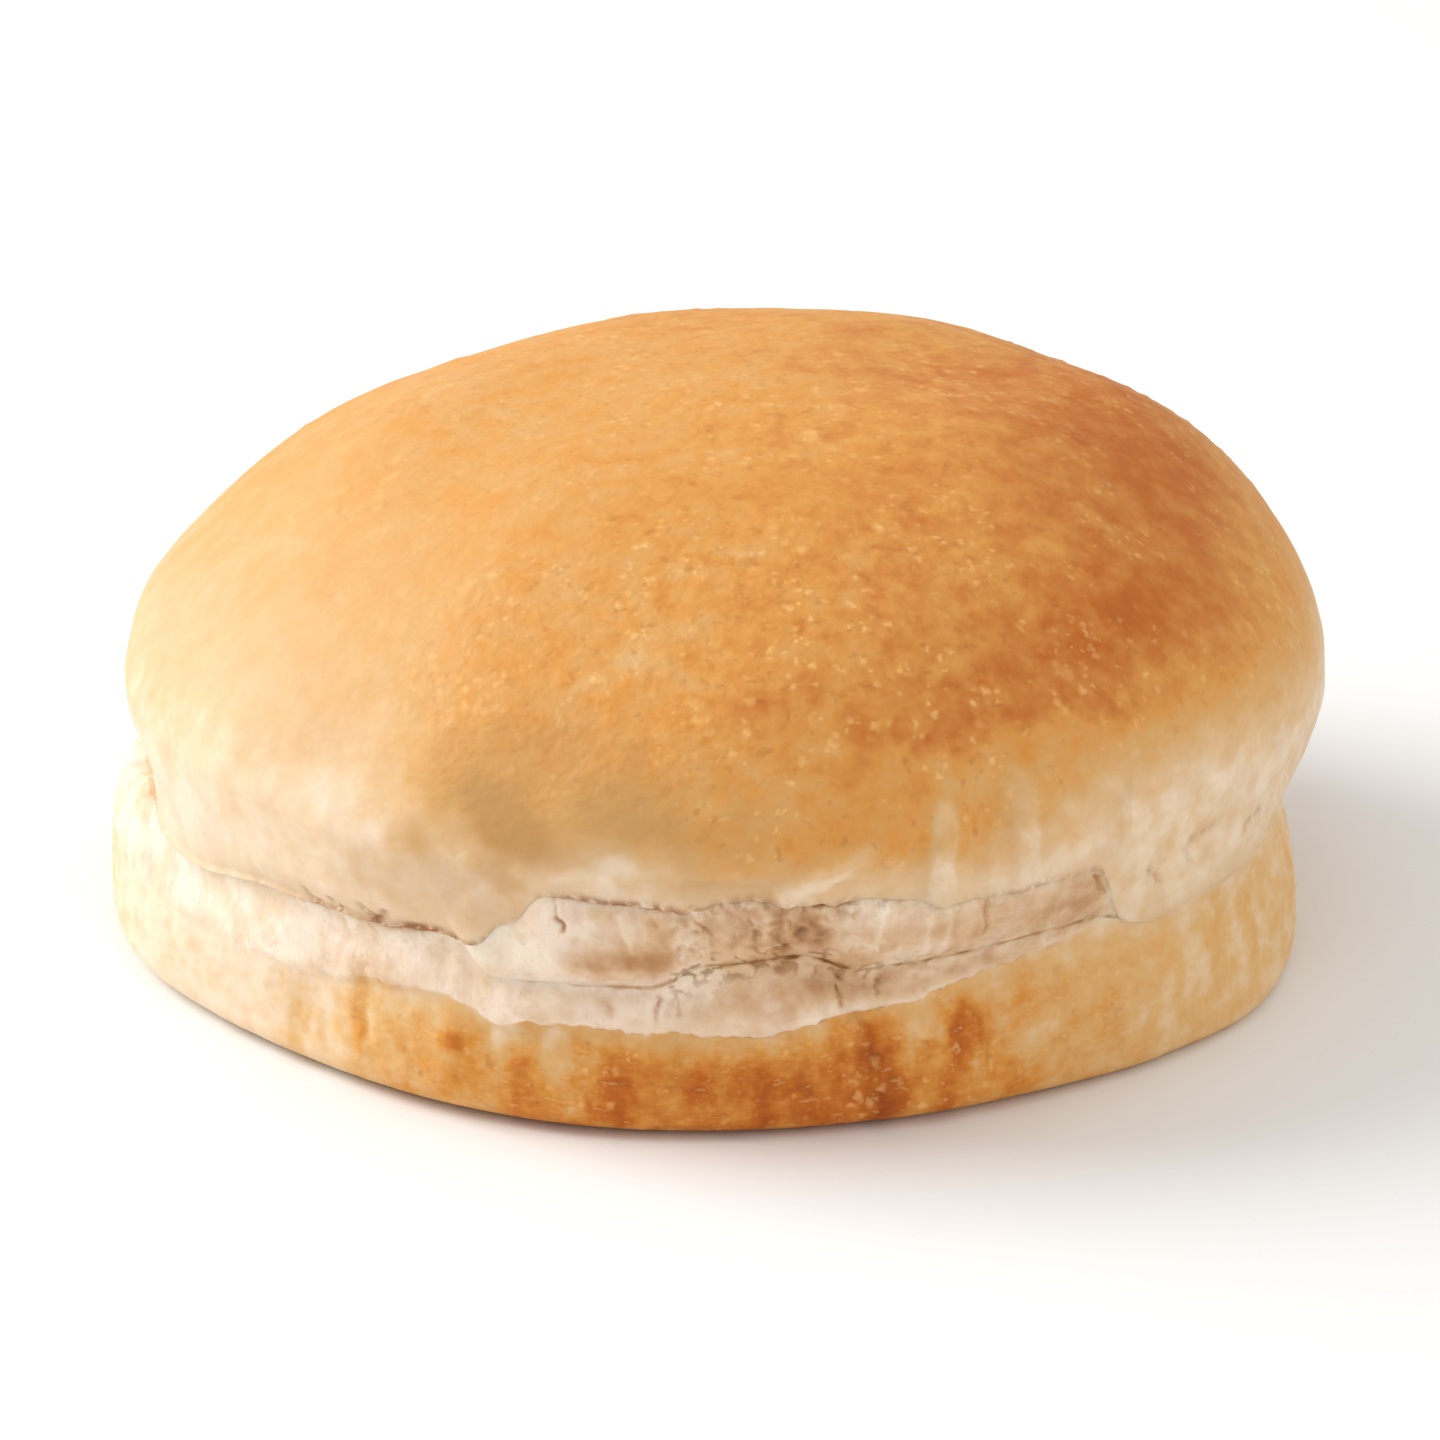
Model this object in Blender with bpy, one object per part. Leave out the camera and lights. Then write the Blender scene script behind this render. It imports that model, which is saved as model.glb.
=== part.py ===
"""Soft hamburger bun, sliced through: a domed crown that rests on a flat heel.

Metres, +Z up. The origin is on the surface the bun stands on, under the middle of its box.
A bearing is the angle round the bun: 0 at the front (-Y), positive towards +X, in degrees in the tables.
A turn is the angle down the crown's side: 0 at the top, 90 degrees at the girth, 180 at the cut edge.
"""

import math

import bmesh
import bpy
import numpy as np

MM = 0.001

# Driving dimensions of the whole bun
BUN_HEIGHT = 47.9 * MM
CUT_HEIGHT = 14.2 * MM
CUT_GAP = 0.3 * MM

# Crown: a dome over its girth, and an undercut below it
CROWN_RADIUS = 50.6 * MM
GIRTH_HEIGHT = 22.9 * MM
GIRTH_TILT = -1.1 * MM
CROWN_UNDERCUT = 3.1 * MM
CROWN_SHIFT = (0.45 * MM, 0.0)
APEX_SHIFT = (4.0 * MM, 1.1 * MM)
DOME_SHOULDER = 0.864
DOME_FALL = 1.15

# Heel: a thick disc, widest just above its foot
HEEL_RADIUS = 49.2 * MM
HEEL_SHIFT = (-0.55 * MM, -0.2 * MM)
HEEL_WIDEST_HEIGHT = 3.0 * MM
HEEL_TOP_INSET = 0.062
HEEL_FOOT_INSET = 0.108
HEEL_FOOT_ROUNDNESS = 2.7

# Waves of the two outlines seen from above: (lobes round the bun, share of the radius, bearing of one lobe)
CROWN_WAVES = ((2, 0.0148, 144), (3, 0.0109, -7), (4, 0.0040, 10))
HEEL_WAVES = ((2, 0.0112, -59), (3, 0.0300, 36), (4, 0.0210, -17), (5, 0.0060, 68))

# Lines that run round the bun: (bearing, height in mm)
CUT_LINE = (
    (-180, 13.8), (-150, 14.6), (-120, 13.8), (-88, 15.0), (-60, 14.4), (-46, 16.2), (-24.5, 16.7),
    (-18.5, 12.3), (-6, 12.5), (0, 15.4), (8, 15.9), (14, 14.3), (38, 14.9), (46, 13.2), (64, 13.6),
    (88, 15.0), (128, 13.4), (155, 14.8), (180, 13.8),
)
TEAR_LINE = (
    (-180, 20.2), (-158, 19.4), (-140, 20.6), (-122, 17.8), (-60, 17.8), (-27, 17.9), (-17, 21.6),
    (-9, 21.2), (-4, 20.6), (2, 22.3), (7, 21.4), (14, 21.0), (22, 19.9), (48, 19.6), (57, 18.4),
    (76, 17.6), (118, 17.8), (136, 20.4), (160, 19.2), (180, 20.2),
)
RIM_LINE = (
    (-180, 10.8), (-140, 10.2), (-110, 11.4), (-70, 11.4), (-38, 9.4), (-4, 9.2), (9, 10.0), (16, 10.6),
    (25, 11.6), (44, 12.1), (66, 11.8), (110, 11.4), (140, 10.0), (180, 10.8),
)
# How far the crust is torn open along the tear line and the rim line: (bearing, share)
TEAR_OPEN = (
    (-180, 0.6), (-132, 0.6), (-118, 0.0), (-28, 0.0), (-20, 1.0), (20, 0.9), (52, 0.7), (74, 0.0),
    (116, 0.0), (132, 0.6), (180, 0.6),
)
RIM_OPEN = (
    (-180, 0.6), (-130, 0.5), (-105, 0.1), (-62, 0.1), (-40, 0.7), (-20, 1.0), (8, 0.9), (30, 0.5),
    (50, 0.2), (112, 0.1), (140, 0.6), (180, 0.6),
)

# Pillows of crumb that swell out of the torn bands: (bearing, half width in degrees, swell in mm)
CROWN_PILLOWS = (
    (-12.5, 7.0, 1.5), (2.0, 4.5, 0.5), (12.0, 5.5, 0.8), (26.0, 7.0, 0.9), (41.0, 6.0, 0.8),
    (56.0, 7.0, 0.5), (137.0, 8.0, 0.8), (154.0, 7.0, 1.0), (172.0, 8.0, 0.7), (-168.0, 8.0, 0.9),
    (-148.0, 9.0, 0.8), (-131.0, 6.0, 0.4),
)
RIM_PILLOWS = (
    (-48.0, 8.0, 0.5), (-33.0, 7.0, 0.8), (-17.0, 6.0, 1.0), (-8.5, 4.0, 0.9), (3.0, 6.5, 0.9),
    (15.0, 4.5, 0.5), (27.0, 6.0, 0.4), (143.0, 8.0, 0.6), (163.0, 9.0, 0.7), (-175.0, 8.0, 0.6),
    (-152.0, 9.0, 0.7),
)
TEAR_GROOVE = 0.9 * MM
TEAR_GROOVE_HALF_HEIGHT = 0.8 * MM
CRUST_LIP = 0.5 * MM
CRUST_LIP_HEIGHT = 3.0 * MM
RIM_STEP = 0.5 * MM
RIM_STEP_HEIGHT = 1.2 * MM
PILLOW_FULLNESS = 0.6
UNDERSIDE_RELIEF = 0.5
CUT_FACE_BEND = 4

# Soft dents (negative) and folds (positive) of the crust: (bearing, height in mm, half width in degrees,
# half height in mm, depth in mm)
CROWN_DENTS = (
    (-20, 30.0, 7.0, 4.5, -0.7), (-52, 27.0, 9.0, 6.0, 0.5), (20.5, 25.5, 2.2, 5.0, 0.5),
    (29.5, 27.0, 2.4, 4.5, 0.5), (25.0, 27.0, 2.6, 4.0, -0.6), (10.0, 24.3, 3.2, 1.2, 0.6),
    (8.0, 33.0, 9.0, 4.0, -0.4), (60, 30.0, 9.0, 5.0, 0.4), (110, 31.0, 10.0, 5.0, -0.5),
    (165, 27.0, 6.0, 5.0, 0.4), (-150, 28.0, 7.0, 5.0, -0.6), (-104, 34.0, 9.0, 5.0, -0.3),
    (-92, 28.5, 26.0, 2.8, 0.5), (108, 42.0, 30.0, 6.0, 0.9), (-116, 41.0, 26.0, 6.0, 0.6),
)
HEEL_DENTS = (
    (-43, 6.0, 4.0, 4.0, -0.4), (-26, 5.0, 3.0, 4.0, 0.4), (-4, 7.5, 1.6, 3.5, -0.6),
    (13.5, 6.5, 2.2, 4.5, -0.7), (21, 6.5, 3.0, 4.0, 0.5), (26, 7.0, 2.0, 4.5, -0.5),
    (47, 7.0, 4.0, 4.5, 0.3), (120, 6.5, 3.0, 4.5, -0.5), (168, 6.0, 3.0, 4.0, -0.6),
    (-135, 6.0, 3.0, 4.5, -0.5), (-90, 6.0, 5.0, 4.5, -0.4),
)
# Slow unevenness of the whole skin: (waves across the bun in X, Y and Z, start in degrees)
UNEVEN_WAVES = ((2.3, 1.1, 2.0, 20), (-1.4, 2.6, 3.0, 140), (3.4, -2.2, 1.0, 250), (1.2, 3.6, -4.0, 75))
UNEVENNESS = 0.16 * MM

# Mesh density: columns round the bun stand closer together at the front, where the bread is torn
COLUMNS = 96
FRONT_CROWDING = 0.35
DOME_RINGS = 13
BAND_RINGS = 8
HEEL_WALL_RINGS = 9
HEEL_FOOT_RINGS = 4
CUT_FACE_SHARES = (0.30, 0.62, 0.84, 0.95)
FLAT_FOOT_SHARE = 0.5

CRUST_COLOUR = (0.72, 0.35, 0.10, 1.0)
HEEL_COLOUR = (0.66, 0.34, 0.11, 1.0)


def clear_scene():
    """Empties the file of objects."""
    for obj in list(bpy.data.objects):
        bpy.data.objects.remove(obj, do_unlink=True)


def along(bearing, knots):
    """Value of a line at a bearing. Smooth steps lead from each knot to the next."""
    places = np.array([knot[0] for knot in knots], float)
    values = np.array([knot[1] for knot in knots], float)
    degrees = (np.degrees(bearing) + 180.0) % 360.0 - 180.0
    after = np.clip(np.searchsorted(places, degrees, side="right"), 1, len(places) - 1)
    share = (degrees - places[after - 1]) / (places[after] - places[after - 1])
    share = np.clip(share, 0.0, 1.0)
    step = share * share * (3.0 - 2.0 * share)
    return values[after - 1] + (values[after] - values[after - 1]) * step


def line_height(bearing, knots):
    """Height in metres of a line whose knots give millimetres."""
    return along(bearing, knots) * MM


def apart(bearing, degrees):
    """Angle in degrees, -180 to 180, from a table's bearing to this one."""
    return (np.degrees(bearing) - degrees + 180.0) % 360.0 - 180.0


def outline(bearing, radius, waves):
    """Radius of an outline seen from above: a circle with a few slow waves."""
    swell = sum(share * np.cos(lobes * (bearing - math.radians(start))) for lobes, share, start in waves)
    return radius * (1.0 + swell)


def pillows(bearing, table):
    """Swell in metres of a row of crumb pillows, each a rounded hump, with a crease where two meet."""
    humps = []
    for centre, half, swell in table:
        humps.append(swell * np.maximum(0.0, 1.0 - (apart(bearing, centre) / half) ** 2))
    return np.max(humps, axis=0) * MM


def dents(bearing, height, table):
    """Sum of the soft dents and folds at a place on the side, in metres."""
    total = np.zeros(np.broadcast(bearing, height).shape)
    for centre, level, half_width, half_height, depth in table:
        across = apart(bearing, centre) / half_width
        up = (height / MM - level) / half_height
        total = total + depth * MM * np.exp(-(across**2) - up**2)
    return total


def unevenness(x, y, z):
    """Slow waves through space that keep the skin from being a perfect form."""
    total = 0.0
    for in_x, in_y, in_z, start in UNEVEN_WAVES:
        total = total + np.sin((in_x * x + in_y * y + in_z * z) * math.tau / 0.1 + math.radians(start))
    return UNEVENNESS * total


def cut_edge_height(bearing):
    """Height of the knife's cut where it comes out at the side."""
    return line_height(bearing, CUT_LINE)


def crown_side(bearing, turn):
    """Point on the crown's skin. Above the girth it is a superellipse dome whose middle leans to the apex,
    and below it the wall curls in to the cut edge. Relief is added along the profile's normal."""
    over = np.clip(turn, 0.0, math.pi / 2)
    under = np.clip(turn - math.pi / 2, 0.0, math.pi / 2)
    girth = GIRTH_HEIGHT + GIRTH_TILT * np.sin(bearing)
    rise = np.clip(np.cos(over), 0.0, 1.0) ** DOME_FALL
    radius = outline(bearing, CROWN_RADIUS, CROWN_WAVES) * np.sin(over) ** DOME_SHOULDER
    radius = radius - CROWN_UNDERCUT * (1.0 - np.cos(under))
    height = girth + (BUN_HEIGHT - girth) * rise - (girth - cut_edge_height(bearing)) * np.sin(under)
    x = CROWN_SHIFT[0] + APEX_SHIFT[0] * rise + radius * np.sin(bearing)
    y = CROWN_SHIFT[1] + APEX_SHIFT[1] * rise - radius * np.cos(bearing)
    relief = (torn_band(bearing, height) + dents(bearing, height, CROWN_DENTS)) * np.sin(over)
    relief = relief + unevenness(x, y, height) * np.cos(under)
    outward = relief * np.sin(over) * np.cos(under)
    upward = relief * (np.cos(over) - np.sin(under) * UNDERSIDE_RELIEF)
    return x + outward * np.sin(bearing), y - outward * np.cos(bearing), height + upward


def torn_band(bearing, height):
    """Relief of the crown's torn band: a lip of crust, a groove along the tear line, and pillows of crumb
    from there to the cut."""
    tear = line_height(bearing, TEAR_LINE)
    above = (height - tear) / CRUST_LIP_HEIGHT
    lip = CRUST_LIP * np.where(above > 0.0, np.exp(-((2.0 * above - 0.6) ** 2)), 0.0)
    groove = TEAR_GROOVE * np.exp(-(((height - tear) / TEAR_GROOVE_HALF_HEIGHT) ** 2))
    swell = pillows(bearing, CROWN_PILLOWS) * bulge(height, cut_edge_height(bearing), tear)
    return along(bearing, TEAR_OPEN) * (lip - groove + swell)


def bulge(height, low, high):
    """A full, rounded swell, 0 to 1, between two heights."""
    share = np.clip((height - low) / np.maximum(high - low, MM), 0.0, 1.0)
    return np.clip(np.sin(math.pi * share), 0.0, 1.0) ** PILLOW_FULLNESS


def tear_turn(bearing):
    """Turn at which the crown's side is level with the tear line."""
    girth = GIRTH_HEIGHT + GIRTH_TILT * np.sin(bearing)
    drop = (girth - line_height(bearing, TEAR_LINE)) / (girth - cut_edge_height(bearing))
    return math.pi / 2 + np.arcsin(np.clip(drop, 0.02, 0.9))


def heel_point(bearing, radius, height):
    """Point at a radius from the heel's middle."""
    return HEEL_SHIFT[0] + radius * np.sin(bearing), HEEL_SHIFT[1] - radius * np.cos(bearing), height


def heel_relief(bearing, height):
    """Dents and slow unevenness of the heel's side."""
    waves = unevenness(HEEL_RADIUS * np.sin(bearing), HEEL_RADIUS * np.cos(bearing), height)
    return dents(bearing, height, HEEL_DENTS) + waves


def heel_wall(bearing, share):
    """Point on the heel's side above its widest place: share 0 there, 1 at the cut edge."""
    climb, level = np.sin(share * math.pi / 2), np.cos(share * math.pi / 2)
    cut = cut_edge_height(bearing) - CUT_GAP
    height = HEEL_WIDEST_HEIGHT + (cut - HEEL_WIDEST_HEIGHT) * climb
    rim = line_height(bearing, RIM_LINE)
    over_rim = np.clip((height - rim) / RIM_STEP_HEIGHT + 0.5, 0.0, 1.0)
    step = RIM_STEP * over_rim * over_rim * (3.0 - 2.0 * over_rim)
    torn = along(bearing, RIM_OPEN) * (step + pillows(bearing, RIM_PILLOWS) * bulge(height, rim, cut))
    radius = outline(bearing, HEEL_RADIUS, HEEL_WAVES) * (1.0 - HEEL_TOP_INSET * (1.0 - level))
    return heel_point(bearing, radius + (torn + heel_relief(bearing, height)) * np.sqrt(level), height)


def heel_foot(bearing, share):
    """Point on the heel's side below its widest place: share 0 there, 1 where it turns flat."""
    drop = np.sin(share * math.pi / 2)
    tuck = 1.0 - (1.0 - drop**HEEL_FOOT_ROUNDNESS) ** (1.0 / HEEL_FOOT_ROUNDNESS)
    height = HEEL_WIDEST_HEIGHT * (1.0 - drop)
    radius = outline(bearing, HEEL_RADIUS, HEEL_WAVES) * (1.0 - HEEL_FOOT_INSET * tuck)
    return heel_point(bearing, radius + heel_relief(bearing, height) * (1.0 - share), height)


def cut_face(bearing, share):
    """Point on the knife's cut inside the bun, at a share of the cut face's radius. It is level in the
    middle and bends to the cut edge's height at the rim."""
    radius = outline(bearing, HEEL_RADIUS, HEEL_WAVES) * (1.0 - HEEL_TOP_INSET) * share
    height = CUT_HEIGHT + (cut_edge_height(bearing) - CUT_HEIGHT) * share**CUT_FACE_BEND
    return heel_point(bearing, radius, height)


def columns():
    """Bearings of the mesh's columns, crowded towards the front."""
    even = np.linspace(-math.pi, math.pi, COLUMNS, endpoint=False)
    return even - FRONT_CROWDING * np.sin(even)


def ring(point, lift=0.0):
    """Turns a function's x, y and z into one ring of points, lifted by a small amount."""
    x, y, z = np.broadcast_arrays(*point)
    return np.column_stack((x, y, z + lift))


def crown_rings():
    """Rings of the crown, from its apex down the side and in across its cut face, and then its middle."""
    bearing = columns()
    tear = tear_turn(bearing)
    rings = [ring(crown_side(bearing, tear * step / DOME_RINGS)) for step in range(1, DOME_RINGS + 1)]
    for step in range(1, BAND_RINGS + 1):
        rings.append(ring(crown_side(bearing, tear + (math.pi - tear) * step / BAND_RINGS)))
    rings += [ring(cut_face(bearing, share)) for share in (1.0, *reversed(CUT_FACE_SHARES))]
    return rings


def heel_rings():
    """Rings of the heel, from the middle of its cut face out over the rim, down the side and in."""
    bearing = columns()
    rings = [ring(cut_face(bearing, share), -CUT_GAP) for share in CUT_FACE_SHARES]
    for step in range(HEEL_WALL_RINGS, 0, -1):
        rings.append(ring(heel_wall(bearing, step / HEEL_WALL_RINGS)))
    for step in range(HEEL_FOOT_RINGS + 1):
        rings.append(ring(heel_foot(bearing, step / HEEL_FOOT_RINGS)))
    rings.append(rings[-1] * (FLAT_FOOT_SHARE, FLAT_FOOT_SHARE, 1.0))
    return rings


def solid_from_rings(name, rings, start, end, shift, colour):
    """Makes one closed object: the rings are joined in order by triangles, and a fan closes each end.
    Squares are split the other way where the rings run inwards, so both solids split the cut face alike."""
    bm = bmesh.new()
    first = bm.verts.new(np.add(start, shift))
    rows = [[bm.verts.new(point) for point in points + shift] for points in rings]
    last = bm.verts.new(np.add(end, shift))
    for here in range(COLUMNS):
        there = (here + 1) % COLUMNS
        bm.faces.new((first, rows[0][here], rows[0][there]))
        for upper, lower in zip(rows, rows[1:]):
            if lower[here].co.xy.length < upper[here].co.xy.length:
                bm.faces.new((upper[here], lower[here], upper[there]))
                bm.faces.new((upper[there], lower[here], lower[there]))
            else:
                bm.faces.new((upper[here], lower[here], lower[there]))
                bm.faces.new((upper[here], lower[there], upper[there]))
        bm.faces.new((last, rows[-1][there], rows[-1][here]))
    bmesh.ops.recalc_face_normals(bm, faces=bm.faces)
    mesh = bpy.data.meshes.new(name)
    bm.to_mesh(mesh)
    bm.free()
    mesh.shade_smooth()
    mesh.set_sharp_from_angle(angle=math.radians(50))
    mesh.materials.append(bread_material(name, colour))
    obj = bpy.data.objects.new(name, mesh)
    bpy.context.scene.collection.objects.link(obj)
    return obj


def bread_material(name, colour):
    """Soft baked crust: matt, with no metal in it."""
    material = bpy.data.materials.new(name + "_crust")
    material.use_nodes = True
    shader = material.node_tree.nodes["Principled BSDF"]
    shader.inputs["Base Color"].default_value = colour
    shader.inputs["Roughness"].default_value = 0.55
    shader.inputs["Metallic"].default_value = 0.0
    return material


def box_shift(rings):
    """Move that puts the middle of the rings' box over the origin."""
    points = np.concatenate(rings)
    low, high = points.min(axis=0), points.max(axis=0)
    return np.array((-(low[0] + high[0]) / 2, -(low[1] + high[1]) / 2, 0.0))


def main():
    clear_scene()
    crown, heel = crown_rings(), heel_rings()
    shift = box_shift(crown + heel)
    apex = np.array(crown_side(0.0, 0.0))
    middle = (*HEEL_SHIFT, CUT_HEIGHT)
    under_middle = (*HEEL_SHIFT, CUT_HEIGHT - CUT_GAP)
    solid_from_rings("crown", crown, apex, middle, shift, CRUST_COLOUR)
    solid_from_rings("heel", heel, under_middle, (*HEEL_SHIFT, 0.0), shift, HEEL_COLOUR)


main()
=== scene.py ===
"""Looks of a sliced hamburger bun: a browned crown over torn, pale crumb, resting on a golden heel.

Shapes are worked out in millimetres in the frame's own axes and put into the meshes in metres. A bearing is the
angle round the bun: 0 at the front (-Y) and positive towards +X. The tables give it in degrees.
"""

import math

import bpy
import numpy as np
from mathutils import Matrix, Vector


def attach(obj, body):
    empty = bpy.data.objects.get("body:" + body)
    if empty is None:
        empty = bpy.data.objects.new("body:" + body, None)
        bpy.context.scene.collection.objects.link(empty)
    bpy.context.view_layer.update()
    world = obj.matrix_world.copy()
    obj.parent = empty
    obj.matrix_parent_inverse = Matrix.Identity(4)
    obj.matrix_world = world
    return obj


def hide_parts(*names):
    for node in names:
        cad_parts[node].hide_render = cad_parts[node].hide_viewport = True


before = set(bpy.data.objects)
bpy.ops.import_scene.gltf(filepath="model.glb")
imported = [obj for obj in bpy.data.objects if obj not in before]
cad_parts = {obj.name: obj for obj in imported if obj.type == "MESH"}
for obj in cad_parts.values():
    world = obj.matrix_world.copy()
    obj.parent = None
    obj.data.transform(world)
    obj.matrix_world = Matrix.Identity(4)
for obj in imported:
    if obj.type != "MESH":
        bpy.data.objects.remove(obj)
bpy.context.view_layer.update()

MM = 0.001
QUARTER = math.pi / 2

# The bun's own sizes in mm, as its solids have them
CENTRE_SHIFT = np.array((0.313, 0.412, 0))
BUN_HEIGHT = 47.9
CUT_HEIGHT = 14.2
CUT_GAP = 0.3
CROWN_RADIUS = 50.6
CROWN_SHIFT = (0.45, 0)
GIRTH_HEIGHT = 22.9
GIRTH_TILT = -1.1
CROWN_UNDERCUT = 3.1
APEX_SHIFT = (4, 1.1)
DOME_SHOULDER = 0.864
DOME_FALL = 1.15
HEEL_RADIUS = 49.2
HEEL_SHIFT = (-0.55, -0.2)
HEEL_WIDEST_HEIGHT = 3
HEEL_TOP_INSET = 0.062
HEEL_FOOT_ROUNDNESS = 2.7
CUT_FACE_BEND = 4
UNDERSIDE_RELIEF = 0.5

# Waves of the two outlines seen from above: (lobes round the bun, share of the radius, bearing of one lobe)
CROWN_WAVES = ((2, 0.0148, 144), (3, 0.0109, -7), (4, 0.004, 10))
HEEL_WAVES = ((2, 0.0112, -59), (3, 0.03, 36), (4, 0.021, -17), (5, 0.006, 68))

# Lines that run round the bun: (bearing, height)
CUT_LINE = (
    (-180, 13.8), (-150, 14.6), (-120, 13.8), (-88, 15), (-62, 13.7), (-46, 15.6), (-34, 15.7), (-25, 16.4),
    (-20.8, 13.2), (-12, 13.3), (-6, 13.4), (0, 15.4), (8, 15.9), (14, 14.3), (38, 14.9), (46, 13.2),
    (64, 13.6), (88, 15), (128, 13.4), (155, 14.8),
)
TEAR_LINE = (
    (-180, 20.2), (-158, 19.4), (-140, 20.6), (-122, 17.8), (-60, 17.8), (-28, 16.5), (-23, 16.3),
    (-19.8, 18.6), (-16, 21.6), (-9, 21.2), (-4, 20.6), (2, 21.7), (7, 21.2), (14, 21), (22, 19.9),
    (48, 19.6), (57, 18.4), (76, 17.6), (118, 17.8), (136, 20.4), (160, 19.2),
)
TEAR_OPEN = (
    (-180, 0.6), (-132, 0.6), (-118, 0), (-26, 0), (-20, 1), (20, 0.9), (34, 0.7), (42, 0), (116, 0),
    (132, 0.6),
)
RIM_OPEN = (
    (-180, 0.6), (-130, 0.5), (-105, 0.1), (-62, 0.1), (-40, 0.7), (-20, 1), (8, 0.9), (30, 0.5), (50, 0.2),
    (112, 0.1), (140, 0.6),
)
CROWN_PILLOWS = (
    (-12.5, 7, 1.3), (2, 4.5, 0.5), (12, 5.5, 0.7), (25, 8, 0.4), (36, 6, 0.3), (134, 6, 0.4), (150, 11, 0.8),
    (169, 6, 0.4), (-172, 12, 0.7), (-152, 6.5, 0.4), (-138, 8, 0.6),
)
RIM_PILLOWS = (
    (-48, 8, 0.5), (-33, 7, 0.8), (-17, 6, 1), (-8.5, 4, 0.9), (3, 6.5, 0.9), (15, 4.5, 0.5), (27, 6, 0.4),
    (140, 7, 0.3), (160, 13, 0.6), (-178, 6.5, 0.3), (-158, 12, 0.6), (-138, 6, 0.3),
)
PILLOW_FULLNESS = 0.6
RIM_STEP = 0.5
RIM_STEP_HEIGHT = 1.2

# Soft dents (negative) and folds (positive): (bearing, height, half width in degrees, half height, depth)
CROWN_DENTS = (
    (-20, 30, 7, 4.5, -0.7), (-52, 27, 9, 6, 0.5), (20.5, 25.5, 2.2, 5, 0.5), (29.5, 27, 2.4, 4.5, 0.5),
    (25, 27, 2.6, 4, -0.6), (10, 24.3, 3.2, 1.2, 0.6), (8, 33, 9, 4, -0.4), (60, 30, 9, 5, 0.4),
    (110, 31, 10, 5, -0.5), (165, 27, 6, 5, 0.4), (-150, 28, 7, 5, -0.6), (-104, 34, 9, 5, -0.3),
    (-92, 28.5, 26, 2.8, 0.5), (112, 43, 26, 5, 0.7), (-116, 41, 26, 6, 0.3), (95, 38.5, 14, 6, -0.8),
    (73, 17.5, 12, 2.2, -1), (-82, 17.5, 12, 2.6, -1), (146, 45.6, 22, 3.2, 0.55),
    (-170, 46.5, 16, 2.4, -0.3), (7, 22, 11, 4, -0.6), (88, 23.5, 16, 5, -0.1),
)
HEEL_DENTS = (
    (-43, 6, 4, 4, -0.4), (-26, 5, 3, 4, 0.4), (-4, 7.5, 1.6, 3.5, -0.6), (13.5, 6.5, 2.2, 4.5, -0.7),
    (21, 6.5, 3, 4, 0.5), (26, 7, 2, 4.5, -0.5), (47, 7, 4, 4.5, 0.3), (120, 6.5, 3, 4.5, -0.5),
    (168, 6, 3, 4, -0.6), (-135, 6, 3, 4.5, -0.5), (-90, 6, 5, 4.5, -0.4), (61, 1.8, 9, 2.6, 0.6),
    (-86, 5, 12, 5, -0.12),
)
UNEVEN_WAVES = ((2.3, 1.1, 2, 20), (-1.4, 2.6, 3, 140), (3.4, -2.2, 1, 250), (1.2, 3.6, -4, 75))
UNEVENNESS = 0.16

# Where the crust has come away from the crumb: 1 torn, 0 whole, by bearing
TORN = (
    (-180, 1), (-134, 1), (-120, 0), (-26.5, 0), (-22.8, 1), (36.5, 1), (41.5, 0), (116, 0), (130, 1),
)
# How rough the torn crumb is: 0 smooth and 1 ragged, by bearing
RAGGED = (
    (-180, 0.6), (-140, 0.5), (-120, 0.2), (-48, 0.1), (-36, 0.35), (-27, 0.3), (-23, 0.05), (-8, 0.1),
    (-3, 0.85), (9, 0.9), (13, 0.7), (17, 0.4), (24, 0.2), (40, 0.2), (52, 0.1), (110, 0.2), (140, 0.55),
)
# How closely the two edges meet at the seam: 1 without a mark, 0 with rounded and nibbled edges, by bearing
CLOSED = (
    (-180, 0), (-110, 0), (-80, 0.6), (-64, 1), (-56, 0.7), (-44, 0.1), (-28, 0), (-25, 1), (-19, 1),
    (-15, 0.92), (12, 0.94), (18, 0.9), (30, 0.92), (38, 0.97), (44, 1), (66, 1), (80, 0.6), (100, 0),
)
# How dark the broken line of painted shade along the closed seam is, by bearing
SEAM_SHADE = (
    (-180, 0), (-25, 0), (-19, 0.1), (-16, 0.5), (-8, 0.75), (-2, 0.8), (4, 0.8), (10, 1), (18, 0.9),
    (30, 0.7), (40, 0.6), (52, 0.35), (66, 0.15), (80, 0),
)
# How far the heel's upper edge comes out to stand level with the crown's lower edge: 1 all the way, by bearing
FLUSH = (
    (-180, 0.7), (-130, 0.6), (-108, 0), (-86, 0), (-66, 1), (62, 1), (78, 0.2), (84, 0), (108, 0),
    (134, 0.6),
)
# Height at which the heel's crust begins below its pale rim, and how soft that border is, by bearing
RIM_TOP = (
    (-180, 10.8), (-140, 10.2), (-110, 11), (-70, 9), (-45, 8.6), (-38.5, 9.3), (-33, 10.3), (-24.5, 10.8),
    (-20.5, 9.3), (-15, 9.7), (-7.5, 9.6), (-3, 9.2), (3.6, 8.9), (10.3, 10), (14.2, 10.4), (17.1, 10.6),
    (22.4, 11.7), (28, 12.4), (34, 13.2), (40, 14.4), (90, 14.6), (118, 12.5), (140, 10),
)
RIM_SOFTNESS = (
    (-180, 1.2), (-110, 2.4), (-60, 6), (-42, 4.4), (-30, 2), (-22, 1.1), (14, 0.9), (30, 1.2), (60, 1.6),
    (90, 1.6), (140, 1.4),
)
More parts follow.
